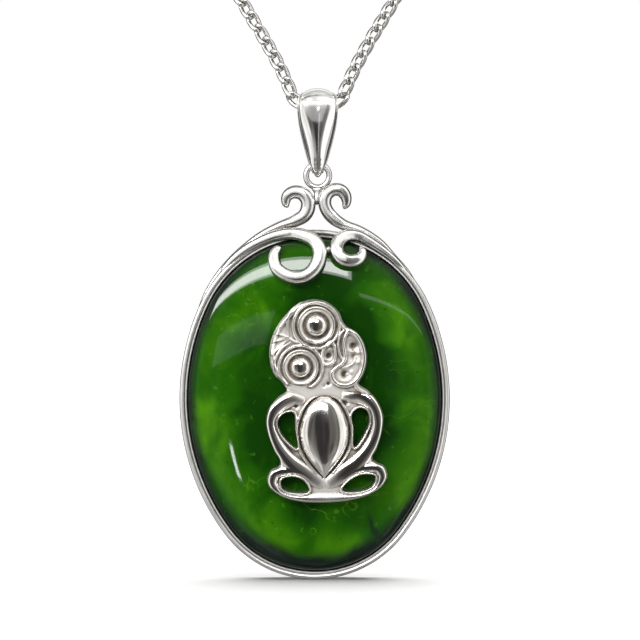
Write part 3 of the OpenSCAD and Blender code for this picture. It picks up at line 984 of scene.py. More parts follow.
    def strand(self, rows: list, tip: float = 0.5) -> Array:
        """Surface of one cast strand.

        Args:
            rows: Stations: across, up, height, half width, half depth.
            tip: Length over which each end is rounded off.

        Returns:
            Places by station and by step round a rounded-square section, whose half
            sizes shrink to nothing at the ends as a quarter circle does.
        """
        path = smooth(np.array(rows, float), 10)
        s = travelled(path)
        near = np.minimum(s, s[-1] - s)
        extra = np.interp(np.linspace(0, 1, 10) ** 2 * tip, s, np.arange(len(s)))
        stations = np.unique(np.concatenate([extra, np.arange(len(s)), len(s) - 1 - extra]))
        path = np.stack([np.interp(stations, np.arange(len(s)), path[:, k]) for k in range(5)], axis=-1)
        near = np.interp(stations, np.arange(len(s)), near)
        round_off = np.sqrt(np.clip(1 - (1 - np.minimum(near / tip, 1)) ** 2, 0.0004, 1))
        way = headings(path)
        a = 2 * np.pi * np.arange(self.strand_sides) / self.strand_sides
        bulge_x = np.sign(np.cos(a)) * np.abs(np.cos(a)) ** 0.8
        bulge_h = np.sign(np.sin(a)) * np.abs(np.sin(a)) ** 0.85
        x = path[:, 3, None] * round_off[:, None] * bulge_x
        h = path[:, 2, None] + path[:, 4, None] * round_off[:, None] * bulge_h
        across = path[:, 0, None] - way[:, 1, None] * x
        up = path[:, 1, None] + way[:, 0, None] * x
        return stand_up(np.stack([across, up, h], axis=-1), EYE_DROP)

    def ring(self) -> Array:
        """Surface of the top ring.

        Returns:
            Places of a torus that faces the viewer, by step round the ring and by step
            round its wire.
        """
        u = 2 * np.pi * np.arange(self.ring_steps)[:, None] / self.ring_steps
        v = 2 * np.pi * np.arange(self.strand_sides)[None] / self.strand_sides
        r = self.ring_r + self.ring_wire_r * np.cos(v)
        flat = np.stack(
            [r * np.cos(u), r * np.sin(u) - self.ring_r, self.ring_wire_r * np.sin(v) + 0 * u], axis=-1
        )
        return stand_up(flat, EYE_DROP)

    def wall_shading(self, wall: Array) -> tuple[Array, Array]:
        """Darkness and dullness of the wall.

        Args:
            wall: The wall's places.

        Returns:
            The painted shade on the wall's grid: dark outlines on the outer side of
            the rim, shade in the corner of the lip and beside the stone, a little on
            the back ledge, and a bell exp(-(steps from the top / half width)^2) behind
            the scrolls; and the satin along the section.
        """
        painted_shading = np.zeros(wall.shape[:2])
        # Painted shade: dark outlines on the rim's outer side, the lip's corner, beside the stone and a
        # little on the back ledge.
        painted_shading[:, 3:9] = (0.6, 1.2, 1.2, 1.0, 0.6, 0.2)
        painted_shading[:, 19:21] = 0.85
        painted_shading[:, 22:25] = (1.0, 1.2, 1.2)
        painted_shading[:, 25:] = 0.08
        satin = np.full(wall.shape[1], 0.8)
        satin[:5] = 0.1
        satin[20:25] = 1.3
        satin[25:] = 0.9
        depth, half = self.top_shade
        from_top = (np.arange(self.wall_steps) - self.wall_steps // 4) / half
        return np.maximum(painted_shading, depth * np.exp(-(from_top**2))[:, None]), satin

    def build(self, material: Material) -> Object:
        """Gathers the wall, strands, ring and solder into one piece.

        Args:
            material: The setting's finish.

        Returns:
            The dressed setting.
        """
        skin = Skin("scrolled_setting")
        wall = self.wall()
        skin.add_grid(wall, True, *self.wall_shading(wall))
        # Painted shade: strands and ring darken most along both flanks as dark outlines, fading over the
        # front and staying a little dark on the back; the solder gets an even half share.
        around = np.sin(2 * np.pi * np.arange(self.strand_sides) / self.strand_sides)
        facing = np.clip(1 - 1.3 * around, 0, 1)
        behind = np.clip(1 + 1.6 * around, 0.15, 1)
        low = 1.15 * np.where(around > 0, facing, behind)
        for rows in (self.upper_left, self.upper_right, self.lower_left, self.lower_right):
            grid = self.strand(rows)
            skin.add_grid(grid, False, np.tile(low, (len(grid), 1)), 0.3)
        for rows in self.solder:
            grid = self.strand(rows)
            skin.add_grid(grid, False, np.full(grid.shape[:2], 0.5), 0.5)
        skin.add_grid(self.ring(), True, np.tile(low * 0.8, (self.ring_steps, 1)), 0.3)
        return skin.build(Body.PENDANT, material, "setting_silver", ["setting"], 40)


@dataclass
class Stone:
    """Domed oval stone with a steep shoulder and a nearly flat middle."""

    oval: Oval = field(default_factory=Oval)
    # Zones of painted light and shade, with the stone's tone: across, up, radius, lightness (darker below
    # zero).
    zones: list = field(
        default_factory=lambda: [
            (-12.3, -2.6, 3.4, 0.8), (-11.8, 4.5, 2.6, 0.45), (-9.4, -9.4, 3.0, 0.0),
            (-6.8, -13.6, 3.0, 0.15),
            (-2.8, -17, 3.0, 0.35), (3.5, -17.6, 3.2, 0.8), (9.8, -9.8, 4.0, 0.6), (12.5, -0.8, 2.8, 0.5),
            (-6.5, 16, 2.6, 0.1), (-7.6, 11, 3, 0.35), (8.4, 13.6, 2.8, 0.3),
            (10.2, 9.5, 2.4, 0.45), (0, 16, 2.5, 0.0),
            (11.4, 5, 2.8, 0.65), (12.4, -5.5, 2.8, 0.55), (-11.2, 7.5, 2.6, 0.45),
            (11.2, -12.3, 2.2, 0.3),
            (8.3, -15, 2.2, 0.0), (-5.8, -6, 2.0, -0.8),
            (-7.2, -1.5, 3.8, -0.55), (-8.6, 3.8, 2.6, -0.35), (-0.5, 12.6, 3.4, -0.75),
            (5.9, 8.6, 2.6, -0.8),
            (7.8, 3, 3, -0.5), (-1, -13.6, 3, -0.8), (8.3, -3.5, 2.4, -0.3), (1, 0, 8, -0.6),
            (5.4, -14.5, 2.2, -0.6),
        ]
    )  # fmt: skip
    inset: float = 1.04
    back: float = -1.1
    edge: float = 1.2
    rise: float = 2.6
    flat: float = 3.0
    steep: float = 2.2
    turns: int = 240
    rings: int = 64

    def build(self, material: Material) -> Object:
        """Makes the stone.

        Args:
            material: The stone's finish.

        Returns:
            The stone: rings of the outline shrunk by a share s, at the height
            edge + rise (1 - s^flat)^(1 / steep), closed by its flat back. Its glow,
            painted light and shade with the stone's tone, is the sum of the zones'
            bells, light * exp(-(distance / radius)^2).
        """
        turn = 2 * np.pi * np.arange(self.turns)[None] / self.turns
        s = np.sin(np.linspace(np.pi / 2, 0.004, self.rings))[:, None]
        rim = self.oval.points(turn, np.full(turn.shape, self.inset))
        dome_h = self.edge + self.rise * (1 - s**self.flat) ** (1 / self.steep)
        dome_h = np.broadcast_to(dome_h, (self.rings, self.turns))
        dome = np.concatenate([rim * s[..., None], dome_h[..., None]], axis=-1)
        low = np.concatenate([rim[0], np.full((self.turns, 1), self.back + 0.15)], axis=-1)[None]
        base = np.concatenate([rim[0] * 0.99, np.full((self.turns, 1), self.back)], axis=-1)[None]
        grid = np.vstack([base, low, dome])
        glow = np.zeros(grid.shape[:2])
        # Painted light and shade: the zones' bells summed into the glow attribute.
        for x, y, radius, light in self.zones:
            glow += light * np.exp(-((grid[..., 0] - x) ** 2 + (grid[..., 1] - y) ** 2) / radius**2)
        skin = Skin("domed_stone", shade="glow")
        skin.add_grid(stand_up(grid, OVAL_DROP, OVAL_SHIFT), False, glow)
        return skin.build(Body.PENDANT, material, "green_stone", ["stone"], 35)


# The figure


@dataclass
class Figure:
    """Cast standing figure: a height field over its pierced outline."""

    step: float = 0.075
    back: float = 3.85
    top: float = 4.85
    outline: list = field(
        default_factory=lambda: [
            (-0.1, 11.85), (1.5, 11.5), (2.9, 10.3), (3.5, 9),
            (3.75, 8.7), (5, 7.9), (6, 6.2), (6.2, 4.6), (5.8, 2.9), (5.25, 1.85),
            (6.3, 1.1), (7.4, -0.15), (8.1, -1.8), (8, -3.6), (7.4, -5.7), (6.9, -7.05),
            (7.3, -7.4), (8.2, -7.85), (8.6, -8.9), (8, -10.2), (6.6, -11.15), (4.4, -11.85),
            (1.5, -12.15), (-1.7, -12.05), (-4.15, -11.3), (-5.35, -10.35), (-5.6, -9.4), (-5.1, -8.35),
            (-4.2, -7.85), (-4.1, -7.6), (-4.8, -6), (-5.5, -4.1), (-5.75, -2.5), (-5.35, -1),
            (-4.3, 0.25), (-3.3, 1.15), (-3.7, 1.75), (-4.8, 3), (-5.35, 4.9), (-5.2, 6.85),
            (-4.65, 8.3), (-3.35, 10.1), (-1.9, 11.35),
        ]
    )  # fmt: skip
    gaps: list = field(
        default_factory=lambda: [
            [(-2.65, -1.55), (-3.7, -1.8), (-4.3, -2.7), (-3.9, -4), (-3, -5.1), (-2.15, -5.75),
             (-2.3, -3.5)],
            [(5.3, -1.05), (6.1, -1.35), (6.4, -2.6), (5.9, -4), (4.7, -5.6), (4.6, -3.5), (4.6, -1.5)],
            [(-0.7, -10.7), (-1.2, -9.7), (-2.7, -9.15), (-3.9, -9.6), (-3.8, -10.4), (-2.4, -10.95)],
            [(3.3, -10.6), (4.3, -9.5), (5.9, -8.85), (7.1, -9.1), (6.9, -10), (5.4, -10.75)],
        ]
    )
    # Limbs: across, up, half width, rise above the plate.
    limbs: list = field(
        default_factory=lambda: [
            [
                (-1.6, -0.1, 0.5, 0.2), (-3.1, 0, 0.95, 0.5), (-4.5, -1, 1.0, 0.7),
                (-5.15, -2.6, 0.9, 0.75),
                (-4.9, -4.3, 0.9, 0.75), (-4.1, -6, 1.0, 0.75), (-2.9, -7.5, 1.1, 0.7),
                (-1.3, -8.6, 1.0, 0.5),
                (0.3, -9.6, 0.8, 0.25),
            ],
            [
                (3.9, 0.4, 0.7, 0.3), (5.5, 0.4, 1.0, 0.55), (6.9, -0.7, 1.0, 0.7),
                (7.5, -2.6, 0.9, 0.75),
                (7.25, -4.4, 0.95, 0.75), (6.3, -6.1, 1.0, 0.75), (5.1, -7.5, 1.1, 0.7),
                (3.5, -8.6, 1.0, 0.5),
                (2.1, -9.6, 0.8, 0.25),
            ],
            [
                (0.6, -9.8, 0.7, 0.15), (-1.2, -8.9, 0.85, 0.45), (-3, -8.4, 0.8, 0.6),
                (-4.7, -8.8, 0.75, 0.6),
                (-5, -9.9, 0.7, 0.6), (-3.9, -11.1, 0.6, 0.5), (-1.8, -11.6, 0.6, 0.4),
                (1.5, -11.75, 0.7, 0.3),
            ],
            [
                (1.9, -9.8, 0.7, 0.15), (3.7, -8.9, 0.85, 0.45), (5.7, -8.1, 0.8, 0.6),
                (7.6, -8.2, 0.75, 0.6),
                (8.05, -9.1, 0.7, 0.6), (7.2, -10.5, 0.6, 0.5), (5.1, -11.4, 0.6, 0.4),
                (1.5, -11.75, 0.7, 0.3),
            ],
        ]
    )  # fmt: skip
    # Belly: its line across, its top and bottom, greatest half width and height.
    belly_x: float = 1.15
    belly_top: float = 0.35
    belly_bottom: float = -9.3
    belly_half: float = 2.9
    belly_rise: float = 1.33
    # Eyes: across, up, scale; their profile: radius, height above the plate.
    eyes: list = field(default_factory=lambda: [(0.2, 8.75, 1.0), (-1.66, 3.8, 0.95)])
    eye_profile: list = field(
        default_factory=lambda: [
            (0, 0.80), (0.3, 0.785), (0.6, 0.725), (0.85, 0.63), (1.05, 0.49), (1.18, 0.32),
            (1.25, 0.1), (1.28, -0.15),
            (1.5, -0.2), (1.6, -0.02), (1.68, 0.12), (1.8, 0.24), (1.98, 0.34), (2.1, 0.36),
            (2.2, 0.3), (2.27, -0.05),
            (2.4, -0.16), (2.5, 0.1), (2.6, 0.38), (2.74, 0.44), (2.88, 0.28), (2.96, 0.02),
        ]
    )  # fmt: skip
    # Raised lines on the head: across, up, half width, rise.
    lines: list = field(
        default_factory=lambda: [
            [(0.86, 4.93, 0.2, 0.3), (1.02, 5.73, 0.2, 0.34), (1.47, 6.53, 0.2, 0.38),
             (1.95, 6.82, 0.2, 0.4),
             (2.31, 6.37, 0.2, 0.4), (2.43, 5.65, 0.2, 0.4), (2.43, 4.93, 0.22, 0.4),
             (2.19, 4.44, 0.24, 0.36),
             (1.63, 4.12, 0.26, 0.34), (1.12, 4.2, 0.22, 0.3), (0.86, 4.93, 0.2, 0.3)],
            [(3.88, 8.4, 0.14, 0.3), (3.16, 7.9, 0.16, 0.38), (2.84, 7.17, 0.16, 0.4),
             (2.8, 6.21, 0.16, 0.4),
             (3.0, 5.25, 0.16, 0.38), (3.3, 4.68, 0.14, 0.3)],
            [(2.92, 8.14, 0.1, 0.2), (2.5, 7.5, 0.12, 0.26), (2.44, 7.2, 0.12, 0.24)],
            [(4.1, 8.3, 0.3, 0.4), (4.85, 7.85, 0.42, 0.5), (5.45, 6.9, 0.42, 0.52),
             (5.8, 5.8, 0.36, 0.5),
             (5.88, 4.7, 0.34, 0.5), (5.65, 3.55, 0.34, 0.5), (5.1, 2.5, 0.36, 0.5),
             (4.3, 1.85, 0.36, 0.5),
             (3.4, 1.7, 0.34, 0.5), (2.6, 1.95, 0.32, 0.48), (2.1, 2.5, 0.3, 0.46),
             (2.05, 3.15, 0.28, 0.44),
             (2.55, 3.75, 0.26, 0.42), (3.2, 4.2, 0.24, 0.4), (3.6, 4.8, 0.24, 0.42),
             (3.55, 5.6, 0.24, 0.42),
             (3.45, 6.5, 0.24, 0.42), (3.6, 7.4, 0.24, 0.42), (4.1, 8.3, 0.3, 0.4)],
            [(3.3, 3.7, 0.12, 0.16), (4.04, 3.96, 0.16, 0.26), (4.52, 4.28, 0.16, 0.28),
             (4.75, 4.75, 0.12, 0.16)],
            [(-2.87, 7.15, 0.14, 0.2), (-2.3, 6.85, 0.16, 0.26), (-1.6, 6.7, 0.16, 0.24),
             (-0.9, 6.55, 0.12, 0.16)],
        ]
    )
    # Sunk places: across, up, radius, depth. Small raised knobs have a negative depth.
    pits: list = field(
        default_factory=lambda: [
            (1.65, 5.2, 0.55, 0.5), (1.85, 5.75, 0.22, -0.5), (1.35, 4.75, 0.24, -0.25),
            (4.55, 6.35, 0.75, 0.62), (4.5, 5.65, 0.24, -0.4), (4.6, 5.1, 0.8, 0.35),
            (5.1, 5.5, 0.2, -0.3), (4.8, 4.95, 0.26, -0.3),
            (5.1, 4.4, 0.3, -0.25), (3.5, 3.0, 0.85, 0.6), (3.75, 2.95, 0.3, -0.35),
            (4.3, 3.2, 0.3, -0.2),
            (-2.2, -0.75, 0.4, 0.3), (-2.45, -1.0, 0.16, -0.2), (3.6, -0.35, 0.45, 0.35),
            (4.0, -0.7, 0.16, -0.2),
            (1.15, 1.6, 0.25, 0.2), (1.6, 1.9, 0.35, 0.4), (-0.3, 6.55, 0.5, 0.25), (0.6, 6.2, 0.35, 0.2),
        ]
    )  # fmt: skip
    # Raised arcs: across, up, radius, start and end in degrees, half width, rise.
    arcs: list = field(
        default_factory=lambda: [
            (0.2, 8.75, 3.42, 88, 200, 0.2, 0.36), (0.35, 8.6, 3.0, 70, 190, 0.1, 0.2),
            (-1.66, 3.8, 3.15, 112, 232, 0.18, 0.36), (-1.5, 3.8, 3.65, 128, 215, 0.1, 0.24),
        ]
    )  # fmt: skip
    fan_at: tuple = (-2.75, 7.25)
    fan_range: tuple = (140.0, 222.0)
    fan_ribs: int = 3
    fan_depth: float = 0.42
    # Painted shade in the hollows: rounds of averaging with how strongly each shows, and how deep a place
    # must lie before it darkens.
    hollows: tuple = ((14, 5.0), (90, 2.4))
    unshaded: float = 0.12

    def measure(self, place: Array, loops: list[Array]) -> tuple[Array, Array]:
        """Distance of every place from closed outlines.

        Args:
            place: Places (across, up), one to a line.
            loops: Closed outlines as arrays of corners.

        Returns:
            The signed distance, negative inside, and the nearest point of the
            outlines. Inside is where a line to the right crosses them an odd number
            of times.
        """
        best = np.full(len(place), 1e9)
        near = np.zeros_like(place)
        inside = np.zeros(len(place), bool)
        for loop in loops:
            for a, b in zip(loop, np.roll(loop, -1, axis=0)):
                edge = b - a
                t = np.clip(((place - a) @ edge) / (edge @ edge), 0, 1)
                foot = a + t[:, None] * edge
                gap = np.linalg.norm(place - foot, axis=1)
                closer = gap < best
                best[closer] = gap[closer]
                near[closer] = foot[closer]
                over = (a[1] > place[:, 1]) != (b[1] > place[:, 1])
                rise = np.where(abs(edge[1]) > 1e-12, edge[1], 1e-12)
                at = a[0] + (place[:, 1] - a[1]) * edge[0] / rise
                inside ^= over & (place[:, 0] < at)
        return np.where(inside, -best, best), near

    def ridge(self, place: Array, rows: list) -> Array:
        """Height of a rounded raised line.

        Args:
            place: Places (across, up), one to a line.
            rows: Stations: across, up, half width, rise.

        Returns:
            rise * sqrt(1 - (distance / half width)^2) at each place, and 0 outside.
        """
        path = smooth(np.array(rows, float), 8)
        height = np.zeros(len(place))
        for x, y, half, rise in path:
            ratio = ((place[:, 0] - x) ** 2 + (place[:, 1] - y) ** 2) / half**2
            height = np.maximum(height, rise * np.sqrt(np.clip(1 - ratio, 0, 1)))
        return height

    def head(self, place: Array, height: Array) -> Array:
        """Adds the eyes, fan and raised lines of the head.

        Args:
            place: Places (across, up), one to a line.
            height: Heights above the plate so far.

        Returns:
            The heights with the eyes set in by their profile, the fan's ribs rising
            as a saw round its point, and the lines on top.
        """
        x, y = place[:, 0], place[:, 1]
        angle = np.degrees(np.arctan2(y - self.fan_at[1], x - self.fan_at[0])) % 360
        reach = np.hypot(x - self.fan_at[0], y - self.fan_at[1])
        share = (angle - self.fan_range[0]) / (self.fan_range[1] - self.fan_range[0])
        saw = (share * self.fan_ribs) % 1
        in_fan = (share > 0) & (share < 1) & (reach > 0.15)
        height = np.where(in_fan, height + self.fan_depth * (saw - 0.45), height)
        for cx, cy, r, start, end, half, rise in self.arcs:
            turn = np.radians(np.linspace(start, end, 13))
            fade = np.sin(np.linspace(0.25, np.pi - 0.25, 13)) ** 0.5
            rows = np.stack([cx + r * np.cos(turn), cy + r * np.sin(turn), half * fade, rise * fade], axis=-1)
            height = np.maximum(height, self.ridge(place, rows))
        for rows in self.lines:
            height = np.maximum(height, self.ridge(place, rows))
        radii = np.array([np.hypot(x - ex, y - ey) / size for ex, ey, size in self.eyes])
        nearest = radii.min(axis=0)
        profile = np.array(self.eye_profile)
        eye = np.interp(nearest, profile[:, 0], profile[:, 1])
        outside = np.where(nearest > 2.3, height, -9)
        return np.where(nearest < profile[-1, 0], np.maximum(eye, outside), height)

    def heights(self, place: Array, rim: Array, gap: Array) -> Array:
        """Front surface of the figure.

        Args:
            place: Places (across, up), one to a line.
            rim: Distance inside the outer outline.
            gap: Distance outside the pierced gaps.

        Returns:
            Heights towards the viewer: the plate, the limbs, the belly as half an
            ellipse across its width, whose half width is a sine of the way down that
            is round above and pointed below, rims along the outline and the gaps, the
            head, and pits and knobs as bells; the outer edge is rounded down.
        """
        x, y = place[:, 0], place[:, 1]
        height = np.zeros(len(place))
        for rows in self.limbs:
            height = np.maximum(height, self.ridge(place, rows))
        on_head = y > 1.25 - 0.12 * (x - 1.0)
        rim_line = 0.34 * np.clip(1 - ((rim - 0.42) / 0.3) ** 2, 0, 1)
        height = np.where(on_head, np.maximum(rim_line, 0.0), height)
        gap_line = 0.5 * np.sqrt(np.clip(1 - ((gap - 0.17) / 0.17) ** 2, 0, 1))
        by_gap = np.maximum(height * np.clip(gap / 0.5, 0.5, 1), gap_line)
        height = np.where((gap < 0.5) & ~on_head, by_gap, height)
        down = np.clip((self.belly_top - y) / (self.belly_top - self.belly_bottom), 0, 1)
        half = self.belly_half * np.sin(np.pi * down**0.87) ** (0.5 + 0.5 * down)
        across = np.abs(x - self.belly_x) / np.maximum(half, 1e-3)
        tall = self.belly_rise * (half / self.belly_half) ** 0.7
        dome = np.where(half > 0.02, tall * np.sqrt(np.clip(1 - across**2, 0, 1)), 0)
        moat = (half > 0.02) & (across >= 1) & ((across - 1) * half < 0.16)
        frame_line = 0.42 * np.clip(1 - (((across - 1) * half - 0.42) / 0.24) ** 2, 0, 1) * (half > 0.5)
        height = np.maximum(height, np.where(on_head, 0, frame_line))
        height = np.where(across < 1, dome, np.where(moat, -0.25, height))
        height = np.where(on_head, self.head(place, height), height)
        for px, py, r, depth in self.pits:
            bell = np.exp(-(((x - px) ** 2 + (y - py) ** 2) / (0.6 * r) ** 2))
            height = height - depth * bell
        drop = 0.32 * (1 - np.sqrt(np.clip(1 - (1 - np.clip(rim / 0.32, 0, 1)) ** 2, 0, 1)))
        gap_drop = 0.12 * (1 - np.sqrt(np.clip(1 - (1 - np.clip(gap / 0.12, 0, 1)) ** 2, 0, 1)))
        return self.top + height - drop - gap_drop

    def sunk(self, around: Array, rounds: int) -> Array:
        """How far each place lies below its surroundings.

        Args:
            around: Heights on the square grid.
            rounds: How often the heights are averaged with their four neighbours.

        Returns:
            The averaged height less the height.
        """
        level = around
        for _ in range(rounds):
            total = level
            for shift, axis in ((1, 0), (-1, 0), (1, 1), (-1, 1)):
                total = total + np.roll(level, shift, axis)
            level = total / 5
        return level - around

    def build(self, material: Material) -> Object:
        """Makes the figure.

        Args:
            material: The figure's finish.

        Returns:
            The figure: a square grid trimmed to the outline, with the points near
            it moved on to it, a flat back under it and walls along every edge.
        """
        outer = smooth(np.array(self.outline), 6, True)
        gaps = [smooth(np.array(gap), 6, True) for gap in self.gaps]
        low, high = outer.min(axis=0) - 0.2, outer.max(axis=0) + 0.2
        nx, ny = (np.ceil((high - low) / self.step)).astype(int)
        x_at = low[0] + np.arange(nx) * self.step
        y_at = low[1] + np.arange(ny) * self.step
        gx, gy = np.meshgrid(x_at, y_at, indexing="ij")
        place = np.stack([gx.ravel(), gy.ravel()], axis=-1)
        signed, near = self.measure(place, [outer, *gaps])
        snap = np.abs(signed) < 0.55 * self.step
        place = np.where(snap[:, None], near, place)
        rim = -self.measure(place, [outer])[0]
        gap = self.measure(place, gaps)[0]
        front = self.heights(place, np.maximum(rim, 0), np.maximum(gap, 0))
        kept = (signed < 0) | snap
        i, j = np.meshgrid(np.arange(nx - 1), np.arange(ny - 1), indexing="ij")
        i, j = i.ravel(), j.ravel()
        cells = np.stack([i * ny + j, (i + 1) * ny + j, (i + 1) * ny + j + 1, i * ny + j + 1], axis=-1)
        whole = kept[cells].all(axis=1) & (~snap[cells]).any(axis=1)
        cells = cells[whole]
        used, packed = np.unique(cells, return_inverse=True)
        cells = packed.reshape(cells.shape)
        count = len(used)
        top = np.concatenate([place[used], front[used, None]], axis=-1)
        under = np.concatenate([place[used], np.full((count, 1), self.back)], axis=-1)
        edges = np.stack([cells, np.roll(cells, -1, axis=1)], axis=-1).reshape(-1, 2)
        code = edges[:, 0] * count + edges[:, 1]
        back_code = edges[:, 1] * count + edges[:, 0]
        open_edges = edges[~np.isin(code, back_code)]
        a, b = open_edges[:, 0], open_edges[:, 1]
        walls = np.stack([b, a, a + count, b + count], axis=-1)
        around = front.reshape(nx, ny)
        # Painted shade in the hollows: how far each place lies below its averaged surroundings.
        hollow = sum(strength * self.sunk(around, rounds) for rounds, strength in self.hollows)
        hollow = np.clip((hollow - self.unshaded).ravel()[used], 0, 1)
        # Painted shade: the back gets a half share, which fades up the walls.
        painted_shading = np.concatenate([hollow, np.full(count, 0.5)])
        flat = np.clip(1.2 - (front[used] - self.top) / 0.45, 0, 1)
        satin = np.concatenate([flat, np.full(count, 1.0)])
        skin = Skin("cast_figure")
        places = stand_up(np.vstack([top, under]), OVAL_DROP, OVAL_SHIFT)
        skin.add(places, [np.vstack([cells, cells[:, ::-1] + count, walls])], painted_shading, satin)
        return skin.build(Body.PENDANT, material, "figure_silver", ["tiki"], 70)


# The room


@dataclass(frozen=True)
class Lamp:
    """A soft rectangular light, placed by its direction from the pendant.

    The direction is degrees to the right of the camera's side and degrees up, and the
    width and height are degrees too. The glow is the light's own brightness.
    """

    name: str
    side: float
    up: float
    width: float
    height: float
    glow: float
    lights: Lit
    away: float = 0.7

    def build(self, middle: tuple) -> Object:
        """Hangs the lamp, turned to the pendant.

        Args:
            middle: The place that the lamp faces.

        Returns:
            The lamp. Its power is glow * pi * area, so that its surface has that glow.
        """
        data = bpy.data.lights.new(self.name, "AREA")
        data.shape = "RECTANGLE"
        data.size, data.size_y = (
            2 * self.away * math.tan(math.radians(angle / 2)) for angle in (self.width, self.height)
        )
        data.energy = self.glow * math.pi * data.size * data.size_y
        made = bpy.data.objects.new(self.name, data)
        bpy.context.scene.collection.objects.link(made)
        side, up = math.radians(self.side), math.radians(self.up)
        way = Vector((math.sin(side) * math.cos(up), -math.cos(side) * math.cos(up), math.sin(up)))
        made.location = Vector(middle) + way * self.away
        made.rotation_euler = (-way).to_track_quat("-Z", "Y").to_euler()
        made.visible_camera = False
        return made


